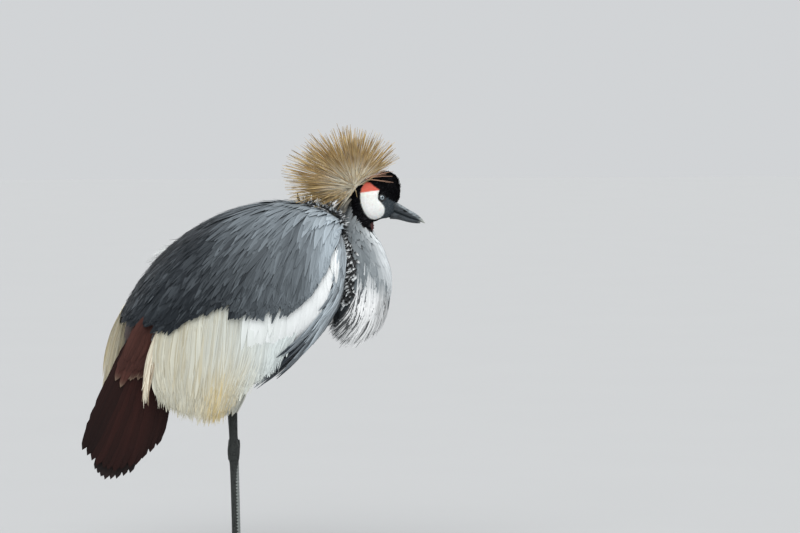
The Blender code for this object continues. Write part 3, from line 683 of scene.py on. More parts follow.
# Each layer: feathers to the square metre, length, half width, height of the tips, columns
CAPE_LAYERS = (
    (6500, 0.108, 0.0086, -0.0012, 5),
    (7500, 0.090, 0.0050, -0.0004, 5),
    (4600, 0.086, 0.0024, 0.0004, 3),
)
for word, side in SIDES.items():
    place = run_place(CAPE_RUN, side)
    layers = []
    for layer, (density, size, widest, top, columns) in enumerate(CAPE_LAYERS):
        chance = np.random.default_rng(11 + side + 5 * layer)
        s, f = spread(place, density, chance, -0.10, 0.92)
        count = len(s)
        front = step(0.36 - f - 0.22 * s, 0.0, 0.34)
        length = size * (1 - 0.45 * front) * chance.uniform(0.80, 1.15, count)
        # The lower edge hangs in pointed lobes, where feathers cling together.
        lobe = (s * 14 + 0.35 * np.sin(s * 37)) % 1
        end = 1.0 + chance.normal(0, 0.003, count) + 0.070 * (lobe**1.5 - 0.5) * step(s, 0.15, 0.3)
        end = end - 0.030 * min(layer, 1)
        lifts = (-0.0124, -0.0068, -0.0040, top)
        line, out = grow(place, s, f, length, lifts, 8, chance, end, 0.0, 0.05, 0.04)
        half = (widest * (1 - 0.35 * front))[:, None] * profile(8, 0.5, 0.85, 1.0, 1.0, 0.88, 0.58, 0.14)
        half = half * chance.uniform(0.75, 1.15, (count, 1))
        x = line[:, 4, 0]
        # Painted light: the top of the back near the spine is made lighter, as lit from above.
        lit_top = step(35 - on_run(CAPE_RUN, s, f)[1], 0, 20) * step(x, -0.08, 0.0)
        lightness = 0.20 + 0.62 * step(x, 0.060, 0.125) + 0.16 * lit_top - 0.21 * step(-x, -0.070, 0.110)
        lightness = lightness + 0.05 * patches(s, f, 16, 3) + chance.normal(0, 0.035, count)
        tint = blend(np.clip(lightness, 0, 1), screen(29, 34, 39), screen(184, 196, 204))
        # Painted shade: each feather is darker towards its root, which lies under other feathers.
        tint = root_shaded(tint, 0.80, 1.06, 8)
        roots = (s, (f + 0.1) / 1.1)
        layers.append(vanes(line, out, half, tint, roots, columns, 0.06, 0.0004, 0.05, 21 + side + layer))
    plumage("cape_" + word, layers, cape_finish, "slate_feather", "mantle")

# The white coverts cover the front half of the folded wing below the cape: soft, long white feathers
# that lie close and run down and back from the shoulder. WHITE_RUN gives their lines as CAPE_RUN does.
WHITE_RUN = (
    (0.15, 50, 0.185, 92),
    (0.17, 66, 0.22, 106),
    (0.20, 80, 0.26, 119),
    (0.25, 90, 0.315, 129),
    (0.32, 94, 0.38, 142),
    (0.39, 90, 0.45, 154),
    (0.46, 82, 0.52, 158),
    (0.53, 76, 0.59, 150),
    (0.60, 74, 0.67, 140),
    (0.68, 74, 0.75, 128),
    (0.76, 70, 0.82, 112),
)
white_finish = feather_finish("white_feather", 18.0, 0.07, 0.03, -0.03, 0.6, 0.25, 0.04)
for word, side in SIDES.items():
    chance = np.random.default_rng(31 + side)
    place = run_place(WHITE_RUN, side)
    s, f = spread(place, 13000, chance, -0.05, 0.88)
    front = s < 0.50 + 0.10 * chance.random(len(s))
    s, f = s[front], f[front]
    count = len(s)
    length = 0.105 * chance.uniform(0.8, 1.15, count)
    end = 1.0 + chance.normal(0, 0.02, count)
    lifts = (-0.0140, -0.0086, -0.0072, -0.0058)
    line, out = grow(place, s, f, length, lifts, 9, chance, end, 0.0, 0.02, 0.02)
    half = 0.0078 * profile(9, 0.5, 0.95, 1.0, 0.95, 0.7, 0.12) * chance.uniform(0.6, 1.0, (count, 1))
    straw = step(s + chance.normal(0, 0.06, count), 0.30, 0.70)
    tint = blend(straw, screen(248, 251, 251), screen(228, 233, 230))
    layers = [vanes(line, out, half, tint, (s, f * 0.95 + 0.05), 5, 0.03, 0.0003, 0.02, 33 + side)]
    plumage("white_coverts_" + word, layers, white_finish, "white_feather", "wing_" + word)

# Straw coloured plumes, the long loose inner feathers of the wing, hang from under its rear edge in
# front of the flight feathers. They are soft, hair-like vanes with cream and ochre tips.


def form_tree(rows):
    """The left half of a sliced form, to be looked up from the side."""
    along, turn = np.meshgrid(shares(90), np.linspace(0, 180, 60), indexing="ij")
    corner = (np.arange(89)[:, None] * 60 + np.arange(59)).ravel()
    quads = stacked(corner, corner + 1, corner + 61, corner + 60)
    return BVHTree.FromPolygons(over(rows, along, turn)[0].reshape(-1, 3).tolist(), quads.tolist())


def wall(tree, x, z, missing):
    """How far out a form stands at points seen from the side, and a given value where they miss it."""
    found = np.full(x.shape, missing)
    for index in np.ndindex(x.shape):
        hit = tree.ray_cast(Vector((x[index], 1.0, z[index])), Vector((0, -1, 0)))[0]
        found[index] = found[index] if hit is None else hit[1]
    return found


body_tree = form_tree(PLUMAGE)
body_rows = np.array(PLUMAGE)[::-1]
# The wing's widest line, below which its plumes hang free
RIM_X, RIM_Z = (body_rows[:, 0] + body_rows[:, 2]) / 2, (body_rows[:, 1] + body_rows[:, 3]) / 2


def arc(start, bend, tip, rings):
    """Points on a smooth bend from each start to its tip."""
    t = shares(rings)[:, None]
    return start[:, None] * (1 - t) ** 2 + 2 * bend[:, None] * t * (1 - t) + tip[:, None] * t**2


def strands(chance, lines, share, wander):
    """Where plumes start, bend and end: on lines on the bird's side, each a little off them."""
    rows = smooth_rows(lines, share) + chance.normal(0, 0.001, (len(share), 6)) * wander
    return rows[:, :2], rows[:, 2:4], rows[:, 4:]


def around_point(chance, middle, size, count):
    return np.array(middle) + chance.normal(0, 1, (count, len(middle))) * size


def hang(side, start, bend, tip, rings, lift, missing=0.030):
    """Plumes over the wing's side that hang free below its widest line: middle lines and facings."""
    x, z = np.moveaxis(arc(start, bend, tip, rings), -1, 0)
    rim = np.interp(x, RIM_X, RIM_Z)
    fall = np.clip((rim - z) / 0.12, 0, 1)
    rise = np.clip((z - rim) / 0.12, 0, 1)
    y = wall(body_tree, x, np.maximum(z, rim), missing) * (1 - 0.20 * fall) + lift
    face = unit(stacked(0, side, rise * 0.9))
    return stacked(x, side * y, z), face


plume_finish = feather_finish("straw_plume", 16.0, 0.18, 0.02, 0.0, 0.6, 0.3, 0.26)
# The plumes' lines on the wing's side, front to rear: x and z of the root, of the bend and of the tip
PLUME_LINES = (
    (0.062, 0.452, 0.052, 0.392, 0.024, 0.342),
    (0.022, 0.466, 0.012, 0.384, -0.012, 0.317),
    (-0.020, 0.470, -0.018, 0.370, -0.050, 0.277),
    (-0.050, 0.472, -0.045, 0.360, -0.076, 0.256),
    (-0.080, 0.462, -0.086, 0.350, -0.098, 0.256),
    (-0.112, 0.444, -0.122, 0.350, -0.120, 0.264),
    (-0.140, 0.430, -0.156, 0.350, -0.141, 0.272),
    (-0.152, 0.420, -0.170, 0.345, -0.153, 0.283),
)
# How wide most long feathers are, from root to tip
LONG_VANE = profile(9, 0.5, 0.9, 1.0, 0.95, 0.7, 0.12)
for word, side in SIDES.items():
    layers = []
    t = shares(9)
    for layer, (count, widest, columns) in enumerate(((380, 0.0054, 5), (1150, 0.0011, 3))):
        chance = np.random.default_rng(41 + side + 7 * layer)
        share = chance.random(count) ** 0.9
        start, bend, tip = strands(chance, PLUME_LINES, share, (2, 3, 6, 4, 5, 3))
        short = chance.random(count) ** (1.4 + layer) * 0.45
        start = start + (bend - start) * chance.uniform(-0.05, 0.16, (count, 1))
        tip = tip + (bend - tip) * short[:, None]
        lift = np.linspace(-0.0105, -0.0030, 9) + chance.uniform(0, 0.0018, (count, 1)) + 0.0008 * layer
        lift = lift - 0.0026 * (1 - step(share, 0.0, 0.30))[:, None] * t
        line, out = hang(side, start, bend, tip, 9, lift)
        wave = np.sin(6.0 * t + (17 * share + chance.normal(0, 0.9, count))[:, None])
        line[..., 0] += 0.0042 * wave * t
        half = widest * LONG_VANE * chance.uniform(0.6, 1.2, (count, 1))
        warm = np.clip(share * 1.5 - 0.1, 0, 1)
        cream = blend(warm, screen(214, 222, 221), screen(202, 201, 186))
        cream = blend(chance.random(count) ** 2 * 0.6 * warm, cream, screen(170, 158, 124))
        near = np.exp(-((share - 0.42) / 0.17) ** 2) * chance.uniform(0.3, 1.0, count)
        ochre = blend(near, cream * 0.94, screen(196, 170, 98))
        tint = blend(step(shares(10), 0.35, 0.95), cream[:, None], ochre[:, None])
        roots = (share, 0.15 + 0.7 * chance.random(count))
        layers.append(vanes(line, out, half, tint, roots, columns, 0.05, 0.0004, 0.05, 43 + side + layer))
    # A narrow one hangs apart over the flight feathers.
    chance = np.random.default_rng(45 + side)
    count = 46
    start = around_point(chance, (-0.1600, 0.4100), 0.0016, count)
    bend = around_point(chance, (-0.1830, 0.3340), 0.0042, count)
    tip = around_point(chance, (-0.1832, 0.2960), (0.0022, 0.0080), count)
    line, out = hang(side, start, bend, tip, 9, -0.0090, 0.050)
    line[..., 1] = side * np.maximum(np.abs(line[..., 1]), 0.0600 + chance.uniform(0, 0.0015, (count, 1)))
    tint = blend(chance.random(count) ** 2, screen(222, 216, 196), screen(150, 130, 106))
    layers.append(vanes(line, out, 0.0014 * LONG_VANE, tint, (start[:, 0] + 1, start[:, 1]), seed=46))
    if word == "left":
        # On the left the rearmost plumes stand clear behind the flight feathers.
        count = 220
        fan = chance.random(count)[:, None]
        start = around_point(chance, (-0.2020, 0.428), 0.002, count) + fan * (-0.0070, 0.010)
        bend = around_point(chance, (-0.2100, 0.376), 0.002, count) + fan * (-0.0270, 0.008)
        tip = around_point(chance, (-0.2280, 0.290), 0.002, count) + fan * (-0.0170, -0.006)
        tip = tip + (bend - tip) * (chance.random((count, 1)) ** 2 * 0.6)
        x, z = np.moveaxis(arc(start, bend, tip, 9), -1, 0)
        y = 0.016 + 0.040 * t**0.6 + chance.uniform(0, 0.003, (count, 1))
        half = 0.0024 * LONG_VANE * chance.uniform(0.4, 1.2, (count, 1))
        tint = blend(chance.random(count) ** 2, screen(246, 242, 226), screen(214, 204, 174))
        line, roots = stacked(x, y, z), (0.9 + 0.09 * fan[:, 0], 0.5)
        layers.append(vanes(line, unit(np.array((-0.6, 0.8, 0.2))), half, tint, roots, seed=47))
        # A wisp of white down stands out on the back.
        count = 44
        along = 0.612 + 0.020 * chance.normal(0, 1, count)
        lift = np.linspace(-0.012, 0.0075, 7) + chance.uniform(-0.004, 0.003, (count, 1))
        t = shares(7)
        turn = 9 + 4 * chance.normal(0, 1, (count, 1)) + (6 + 8 * chance.normal(0, 1, (count, 1))) * t
        reach = chance.uniform(0.035, 0.080, (count, 1))
        line, out = over(PLUMAGE, along[:, None] + reach * t, turn, lift, side)
        half = 0.0012 * profile(7, 0.5, 1.0, 0.8, 0.2)
        layers.append(vanes(line, out, half, screen(232, 235, 233), (along, along), seed=48))
    plumage("straw_plumes_" + word, layers, plume_finish, "white_feather", "wing_" + word)

# The grey feathers of the wing's front edge lie along it from the shoulder to the belly: firm, pointed
# vanes about 80 mm long with dark shafts and pale edges, and a few white ones show above them.
# EDGE_OUTER and EDGE_INNER are the band's two borders: the share along the body and the turn.
EDGE_OUTER = (
    (0.09, 52), (0.10, 84), (0.13, 116), (0.17, 131), (0.22, 136), (0.27, 141), (0.33, 147),
    (0.42, 152), (0.52, 158),
)
EDGE_INNER = (
    (0.13, 48), (0.165, 74), (0.20, 96), (0.24, 112), (0.29, 119), (0.34, 125), (0.40, 131),
    (0.47, 138), (0.55, 145),
)
edge_finish = feather_finish("edge_feather", 14.0, 0.20, 0.30, -0.42, 0.5, 0.6)
for word, side in SIDES.items():
    def edge_place(s, f, lift=0.0):
        outer, inner = smooth_rows(EDGE_OUTER, f), smooth_rows(EDGE_INNER, f)
        along, turn = np.moveaxis(outer + (inner - outer) * np.asarray(s)[..., None], -1, 0)
        return over(PLUMAGE, along, turn, lift, side)

    chance = np.random.default_rng(51 + side)
    layers = []
    t = shares(9)
    for layer, (density, widest, top) in enumerate(((9000, 0.0050, -0.0040), (5200, 0.0058, -0.0016))):
        s, f = spread(edge_place, density, chance, -0.06, 0.80, (10, 40))
        s = 0.50 * s
        count = len(s)
        length = (0.050 + 0.032 * f) * chance.uniform(0.85, 1.1, count)
        lifts = (-0.0140, -0.0085, -0.0055, top)
        line, out = grow(edge_place, s, f, length, lifts, 9, chance, None, 0.95, 0.10, 0.10)
        # The lower ones hang out below the wing.
        below = 0.018 * step(f, 0.22, 0.42) * step(0.46 - s, 0.0, 0.30) * chance.uniform(0.4, 1.0, count)
        line = line + below[:, None, None] * (t[:, None] ** 1.2 * np.array((0.40, 0, -0.92)))
        line[..., 1] += side * (0.0080 * step(f, 0.32, 0.58))[:, None] * t
        half = widest * LONG_VANE * chance.uniform(0.8, 1.1, (count, 1))
        pale = np.clip(chance.normal(0.76 + 0.24 * layer, 0.20, count) - 0.88 * step(f, 0.36, 0.64), 0, 1)
        # Painted shade: each feather is darker towards its root, which lies under other feathers.
        tint = root_shaded(blend(pale, screen(52, 60, 68), screen(186, 197, 204)), 0.60, 1.10, 9)
        layers.append(vanes(line, out, half, tint, (s, f + 0.06), 5, 0.18, 0.0005, 0.03, 53 + layer))
    # The white ones, near the shoulder
    count = 15
    high = chance.random(count)
    along = 0.151 + 0.008 * chance.random((count, 1)) + 0.048 * t
    line, out = over(PLUMAGE, along, 75 + 8 * high[:, None] + 24 * t, -0.0050 + 0.0042 * t, side)
    half = 0.0024 * profile(9, 0.3, 0.9, 1.0, 0.7, 0.12)
    layers.append(vanes(line, out, half, screen(244, 247, 247), (high, high), 5, 0.1, seed=54))
    plumage("front_edge_" + word, layers, edge_finish, "slate_feather", "wing_" + word)

# The flight feathers of the folded wing hang behind the legs like a closed fan: long, broad maroon
# vanes, rooted in the wing's forearm, under three tiers of shorter chestnut ones.
FAN_X, FAN_Z = -0.150, 0.455


def fan_lines(side, degrees, start, stop, apart, offset, rings):
    """Middle lines that fan out from inside the wing, the rear ones from further back, each a little
    further out than the next."""
    t = shares(rings)
    reach = start + (stop - start)[:, None] * t
    back = np.clip(degrees / 28.5, 0, 1)[:, None]
    swing = 0.006 * (1 - back) * np.sin(np.pi * t)
    swing = swing - 0.016 * back**1.5 * np.clip(1 - (reach - 0.062) / 0.21, 0, 1) ** 1.2
    y = apart[0] + (apart[1] - apart[0]) * t + offset[:, None]
    angle = np.radians(degrees)[:, None]
    return stacked(FAN_X - np.sin(angle) * reach + swing, side * y, FAN_Z - np.cos(angle) * reach)


# The maroon feathers' edges are darkened as painted shade where they overlap.
maroon_finish = feather_finish("maroon_feather", 26.0, 0.40, -0.10, -0.20, 0.6, 0.8, 0.16, 0.03, 0.15)
for word, side in SIDES.items():
    chance = np.random.default_rng(61 + side)
    count = 13
    order = shares(count)
    degrees = np.interp(order, (0, 0.25, 0.5, 0.75, 1), (3, 10, 16, 22, 28.5)) + chance.normal(0, 0.25, count)
    stop = np.interp(order, (0, 0.25, 0.5, 0.75, 1), (0.232, 0.266, 0.284, 0.283, 0.270))
    # The left fan is narrower, so that its straw plumes show behind it.
    degrees = degrees * {"right": 1.0, "left": 0.86}[word]
    line = fan_lines(side, degrees, 0.062, stop, (0.0460, 0.0352), (order - 0.5) * 0.0110, 26)
    half = 0.0138 * profile(26, 0.4, 0.8, 0.95, 1.0, 1.0, 0.95, 0.8, 0.42)
    dark = chance.random(count)[:, None] * 0.5 + np.linspace(0, 0.5, 27) ** 1.5
    tint = blend(dark, screen(50, 22, 18), screen(15, 7, 6))
    tiers = [vanes(line, (0, side, 0), half, tint, (order, order), 9, 0.10, 0.0007, 0.07, 63)]
    for tier, (near, far, count) in enumerate(((0.052, 0.116, 17), (0.044, 0.096, 17), (0.036, 0.076, 16))):
        order = shares(count)
        degrees = 3 + ({"right": 29, "left": 24}[word] - 3) * order + chance.normal(0, 0.7, count)
        stop = far + 0.030 * order + chance.normal(0, 0.0035, count)
        y = 0.0525 + 0.0022 * tier
        line = fan_lines(side, degrees, near, stop, (y, y - 0.0050), (order - 0.5) * 0.006, 14)
        half = 0.0084 * profile(14, 0.4, 0.8, 1.0, 1.0, 0.95, 0.55)
        tint = blend(chance.random(count) * 0.6, screen(74, 44, 38), screen(52, 30, 26))
        # Only the longest tier has pale ends.
        fringe = step(shares(15), 0.90, 1.0) * (0.50, 0.0, 0.0)[tier]
        tint = blend(fringe, tint[:, None], screen(168, 150, 128))
        roots = (order, 0.3 + 0.2 * tier)
        tiers.append(vanes(line, (0, side, 0), half, tint, roots, 7, 0.16, 0.0006, 0.10, 65 + tier))
    plumage("flight_feathers_" + word, tiers, maroon_finish, "maroon_feather", "secondaries_" + word)

# The outer flight feathers, seven on each wing, are black, longer and narrower than the maroon ones. They
# are rooted in the wing's hand and lie folded inside the maroon fan.
black_finish = feather_finish("black_feather", 18.0, 0.30, 0.0, 0.0, 0.5, 0.6, 0.16, 0.03, 0.2)
for word, side in SIDES.items():
    chance = np.random.default_rng(71 + side)
    count = 7
    order = shares(count)
    degrees = np.interp(order, (0, 0.35, 0.7, 1), (11, 15, 18.5, 21))
    stop = np.interp(order, (0, 0.35, 0.7, 1), (0.283, 0.297, 0.303, 0.296))
    line = fan_lines(side, degrees, 0.075, stop, (0.0330, 0.0262), (order - 0.5) * 0.0066, 24)
    half = 0.0105 * profile(24, 0.4, 0.8, 1.0, 1.0, 0.9, 0.45)
    tint = blend(chance.random(count), screen(24, 18, 18), screen(38, 26, 24))
    feathers = [vanes(line, (0, side, 0), half, tint, (order, order), 7, 0.10, 0.0007, 0.03, 73)]
    plumage("primaries_" + word + "_vanes", feathers, black_finish, "black_feather", "primaries_" + word)

# The tail is twelve broad black feathers with stiff shafts, rooted in the rump. They lie over one
# another and hang steeply behind the legs.
chance = np.random.default_rng(81)
count = 12
order = np.linspace(-1, 1, count)
root = stacked(-0.2030, 0.009 * order, 0.392)
tip = stacked(-0.2440 - 0.002 * np.abs(order), 0.0150 * order, 0.173 + 0.010 * order**2)
t = shares(22)[None, :, None]
back = np.array((-0.98, 0.0, 0.18))
line = root[:, None] * (1 - t) + tip[:, None] * t
line = line + back * ((1 - np.abs(order))[:, None, None] * 0.0055 + 0.006 * np.sin(np.pi * t))
half = 0.0088 * profile(22, 0.5, 0.9, 1.0, 1.0, 0.85, 0.4)
tint = blend(chance.random(count), screen(18, 17, 19), screen(32, 29, 30))
roots = ((order + 1) / 2, (order + 1) / 2)
tail = [vanes(line, back, half, tint, roots, 7, 0.12, 0.0007, 0.03, 83)]
plumage("tail_feathers", tail, black_finish, "black_feather", "tail")

# Small contour feathers cover the breast and the belly, short, soft, grey vanes that lie close to the
# skin and run back and down, and paler ones wrap the tops of the legs.
# The down's edges are darkened as painted shade where the feathers overlap.
down_finish = feather_finish("grey_down", 10.0, 0.20, -0.08, -0.05, 0.65)
layers = []
for word, side in SIDES.items():
    def under_place(s, f, lift=0.0):
        return over(PLUMAGE, np.clip(0.02 + 0.96 * f, 0, 1), 60 + 125 * s, lift, side)

    chance = np.random.default_rng(91 + side)
    s, f = spread(under_place, 11000, chance, 0.0, 0.95)
    length = 0.034 * chance.uniform(0.8, 1.2, len(s))
    line, out = grow(under_place, s, f, length, (-0.0150, -0.0135, -0.0125, -0.0115), 5, chance, 1.0)
    tint = blend(chance.random(len(s)), screen(104, 113, 119), screen(146, 155, 160))
    # Painted shade: each feather is darker towards its root, which lies under other feathers.
    tint = root_shaded(blend(step(f, 0.66, 0.78), tint, screen(52, 27, 24)), 0.75, 1.1, 5)
    half = 0.0048 * profile(5, 0.5, 1.0, 0.9, 0.3)
    layers.append(vanes(line, out, half, tint, (f, 0.5 + side * s * 0.45), seed=93))
    # The ones round the top of the leg
    chance = np.random.default_rng(97 + side)
    count = 620
    turn, high = chance.random(count) * 2 * math.pi, chance.random(count)
    middle = np.array((LEG_FORE_AFT + LEG_AHEAD[word] * 0.5, side * LEG_APART * 0.93, 0.0))
    t = shares(6)
    z = 0.350 - 0.056 * high[:, None] - 0.032 * t
    wide = np.interp(z, (0.262, 0.272, 0.284, 0.300, 0.325, 0.350),
                     (0.0092, 0.0125, 0.0175, 0.0225, 0.0250, 0.0260)) + 0.0014 * t
    spoke = stacked(np.cos(turn), 0.70 * np.sin(turn), 0)
    line = middle + spoke[:, None] * wide[..., None] + stacked(-0.006 * t, 0, z)
    tint = blend(chance.random(count), screen(196, 197, 186), screen(226, 225, 212))
    roots = (0.9 + 0.09 * high, 0.5 + side * turn / 13.5)
    layers.append(vanes(line, unit(spoke), 0.0030 * profile(6, 0.5, 1.0, 0.8, 0.25), tint, roots, seed=99))
plumage("belly_feathers", layers, down_finish, "pale_grey_feather", "torso")

# The neck is clothed in fine, short, pale grey feathers. It is palest down its front and darkest beside
# the ruff and low at the back, and longer, looser ones at the nape fill the hollow at the shoulders.
neck_finish = feather_finish("pale_grey_feather", 8.0, 0.10, 0.0, 0.0, 0.65, 0.12, 0.06, 0.05, 0.15)


def neck_place(s, f, lift=0.0):
    return over(NECK, f, -180 + 360 * s, lift, 1)


chance = np.random.default_rng(101)
s, f = spread(neck_place, 42000, chance, -0.02, 0.96, (36, 40))
length = (0.014 + 0.026 * step(f, 0.20, 0.8)) * chance.uniform(0.8, 1.2, len(s))
line, out = grow(neck_place, s, f, length, (-0.0016, -0.0008, -0.0004, 0.0), 6, chance, 1.0, 0.0, 0.02, 0.02)
keep = (black_zone(line[:, 0, 0], line[:, 0, 2]) < 0.5) | (line[:, 0, 2] < HEAD_Z)
s, f, line, out = s[keep], f[keep], line[keep], out[keep]
half = (0.0023 + 0.0018 * f)[:, None] * profile(6, 0.5, 1.0, 0.9, 0.25)
front = np.abs(s - 0.5) * 2
pale = 0.05 + 0.95 * step(front, 0.50, 0.90) + 0.22 * (1 - step(f, 0.10, 0.40))
pale = pale + 0.06 * patches(s, f, 30, 9) + chance.normal(0, 0.025, len(s))
tint = blend(np.clip(pale, 0, 1), screen(92, 101, 106), screen(238, 243, 245))
tint = blend(step(f, 0.58, 0.80) * (1 - step(front, 0.70, 0.98)), tint, screen(44, 48, 52))
# Painted shade: each feather is darker towards its root, which lies under other feathers.
tint = root_shaded(tint, 0.90, 1.03, 6)
layers = [vanes(line, out, half, tint, (s, np.clip(f, 0, 1)), 3, 0.0, 0.0002, 0.05, 103)]
# The loose ones at the nape
count = 420
high = chance.random(count)
start = stacked(0.1560 - 0.0140 * high, chance.normal(0, 0.0060, count), 0.6120 - 0.0330 * high)
spray = around_point(chance, (-0.85, 0.0, -0.42), 0.10, count) + high[:, None] * (0.25, 0, -0.4)
spray[:, 1] += start[:, 1] * 60
t = shares(6)[:, None]
line = start[:, None] + unit(spray)[:, None] * t * chance.uniform(0.018, 0.031, (count, 1, 1))
line = line + np.array((-0.001, 0, -0.007)) * t**2
half = 0.0019 * profile(6, 0.6, 1.0, 0.8, 0.2)
out = stacked(0.3, np.sign(start[:, 1]), 0.6)
shade = np.clip(high + chance.normal(0, 0.2, count), 0, 1)
tint = blend(shade, screen(136, 132, 122), screen(128, 136, 140))
roots = (0.5 + start[:, 1] * 4, 0.02 + 0.1 * high)
layers.append(vanes(line, out, half, tint, roots, 3, 0.06, 0.0003, 0.05, 105))
plumage("neck_feathers", layers, neck_finish, "pale_grey_feather", "neck_upper", "neck_lower")

# The hackles are long, narrow, pointed feathers, most of them white, that hang loose from the lower
# neck over the breast with dark gaps between them, and curl back below it.
# Their lines on the neck's side, front to rear: x and z of the root, of the bend and of the tip
HACKLE_LINES = (
    (0.2160, 0.468, 0.2150, 0.425, 0.1990, 0.400),
    (0.2080, 0.474, 0.2080, 0.418, 0.1860, 0.387),
    (0.1960, 0.480, 0.1970, 0.412, 0.1700, 0.378),
    (0.1850, 0.484, 0.1870, 0.408, 0.1540, 0.373),
    (0.1760, 0.482, 0.1770, 0.412, 0.1390, 0.374),
    (0.1690, 0.474, 0.1640, 0.420, 0.1290, 0.385),
    (0.1620, 0.462, 0.1530, 0.430, 0.1220, 0.402),
)
neck_tree = form_tree(NECK)
layers = []
t = shares(10)
for word, side in SIDES.items():
    chance = np.random.default_rng(111 + side)
    count = 700
    share = chance.random(count)
    start, bend, tip = strands(chance, HACKLE_LINES, share, (3, 6.6, 3, 3, 3, 3))
    # At the neck's front they start low, or they would stand off it.
    early = -0.10 - 0.50 * step(share, 0.20, 0.50)
    start = start + (bend - start) * np.maximum(chance.uniform(-0.70, 0.60, (count, 1)), early[:, None])
    tip = tip + (bend - tip) * (chance.random((count, 1)) ** 1.3 * 0.55)
    x, z = np.moveaxis(arc(start, bend, tip, 10), -1, 0)
    seen = wall(neck_tree, x, z, 0.0)
    held = np.maximum(seen[:, :1], 0.004) * (1 - 0.45 * t**1.5)
    y = np.maximum(seen, held * chance.uniform(0.6, 1.0, (count, 1))) + np.linspace(-0.002, 0.0030, 10)
    y = y + chance.uniform(0, 0.0015, (count, 1))
    line = stacked(x, side * y, z)
    ahead = np.clip((x - 0.170) / 0.045, -0.2, 1)
    out = unit(stacked(ahead, side, 0))
    half = 0.0013 * profile(10, 0.4, 0.8, 1.0, 0.9, 0.6, 0.12) * chance.uniform(0.6, 1.3, (count, 1))
    dark = chance.random(count) < 0.14 + 0.40 * step(share, 0.55, 0.95)
    white = np.clip(chance.normal(0.66 + 0.30 * step(share, 0.10, 0.40), 0.14, count), 0, 1)
    tint = blend(white * np.where(dark, 0.10, 1.0), screen(40, 44, 48), screen(250, 251, 251))
    tint = blend(step(shares(11), 0.02, 0.40), screen(128, 137, 141), tint[:, None])
    roots = (share, 0.5 + side * 0.3 * start[:, 1])
    layers.append(vanes(line, out, half, tint, roots, 3, 0.12, seed=113 + side))
plumage("neck_hackles", layers, neck_finish, "pale_grey_feather", "neck_lower")

# The ruff stands where the neck meets the cape: a band of short, round, curled feathers, half of them
# black with white edges and half nearly black. RUFF_LINE is its middle line: x and z.
RUFF_LINE = (
    (0.0760, 0.6060), (0.1020, 0.6010), (0.1210, 0.5900), (0.1370, 0.5740), (0.1490, 0.5500),
    (0.1560, 0.5230), (0.1570, 0.4960), (0.1540, 0.4700), (0.1460, 0.4460),
)
ruff_finish = feather_finish("ruff_feather", 8.0, 0.15, 0.25, 0.0, 0.6)
skin_tree = BVHTree.FromObject(skin, bpy.context.evaluated_depsgraph_get())
layers = []
t = shares(6)[:, None]
for word, side in SIDES.items():
    chance = np.random.default_rng(121 + side)
    count = 330
    share, wander = chance.random(count) ** 0.80, chance.normal(0, 1, count)
    line, out = np.zeros((count, 6, 3)), np.zeros((count, 3))
    for index, (x, z) in enumerate(smooth_rows(RUFF_LINE, share) + wander[:, None] * (0.0018, 0.0008)):
        hit, normal = skin_tree.ray_cast(Vector((x, side, z)), Vector((0, -side, 0)))[:2]
        if hit is None:
            hit, normal = skin_tree.find_nearest(Vector((x, side * 0.03, z)))[:2]
        face = unit(np.array(normal) + np.array((0, side * 0.2, 0)))
        down = np.array((-0.45, 0, -1.0)) + chance.normal(0, 0.60, 3)
        down = unit(down - face * (down @ face))
        over_cape = 0.0100 * step(0.142 - x, 0.0, 0.018)
        rise = over_cape + 0.0020 + 0.0060 * t + 0.0040 * t**3
        line[index] = np.array(hit) + down * chance.uniform(0.009, 0.016) * t + face * rise
        out[index] = face
    half = 0.0023 * profile(6, 0.5, 0.9, 1.0, 0.7, 0.25) * chance.uniform(0.7, 1.2, (count, 1))
    white = step(shares(7), 0.35, 0.70) * np.where(chance.random((count, 1)) < 0.50, 1.0, 0.06)
    tint = blend(white, screen(12, 12, 14), screen(236, 240, 241))
    layers.append(vanes(line, out, half, tint, (share, 0.5 + side * 0.2 + wander * 0.05), 3, seed=123))
plumage("ruff_feathers", layers, ruff_finish, "black_feather", "mantle")

# The velvet cap: very short, dense black feathers over the brow and crown and down the nape and throat,
# round the bare cheek and the eye.
cap_finish = feather_finish("velvet", 3.0, 0.3, 0.0, 0.0, 0.9, 0.5, 0.16, 0.0, 0.08)
CAP_LENGTH, CAP_COUNT = 0.0052, 6200


def bare_depth(x, z):
    return np.maximum(inside(CHEEK, x, z), inside(RED_PATCH, x, z))


chance = np.random.default_rng(131)
start, face = coordinates(skin), coordinates(skin, "normal")
x, y, z = start.T
on_head = (black_zone(x, z) > 0.5) | ((x < 0.160) & (z > 0.585) & (z < 0.632))
on_head &= ((x < 0.2335) | (z > 0.607)) & (z > HEAD_Z)
down = unit(np.array((-0.9, 0, -0.35)) + chance.normal(0, 0.14, (len(x), 3)))
tip_x, _, tip_z = (start + down * CAP_LENGTH).T
clear = (bare_depth(tip_x, tip_z) < 0.0006) & (bare_depth(x, z) < -0.0002) & (eye_gap(x, z) > 0.0062)
clear &= (eye_gap(tip_x, tip_z) > 0.0058) & (eye_gap((x + tip_x) / 2, (z + tip_z) / 2) > 0.0058)
keep = np.flatnonzero(on_head & (clear | (np.abs(y) < 0.008)))
keep = chance.choice(keep, min(len(keep), CAP_COUNT), replace=False)
start, face, down = start[keep], face[keep], down[keep]
x, y, z = start.T
down = unit(down - face * np.sum(down * face, -1, keepdims=True))
tall, lore = step(z, 0.60, 0.63)[:, None, None], lore_zone(x, z)[:, None, None]
t = shares(3)[:, None]
line = start[:, None] + down[:, None] * t * (CAP_LENGTH + 0.001 * tall) * (1 - 0.4 * lore)
line = line + face[:, None] * (t**0.7 * (0.0011 + 0.0010 * tall) * (1 - 0.7 * lore) - 0.0002)
half = 0.00090 * profile(3, 0.7, 1.0, 0.35)
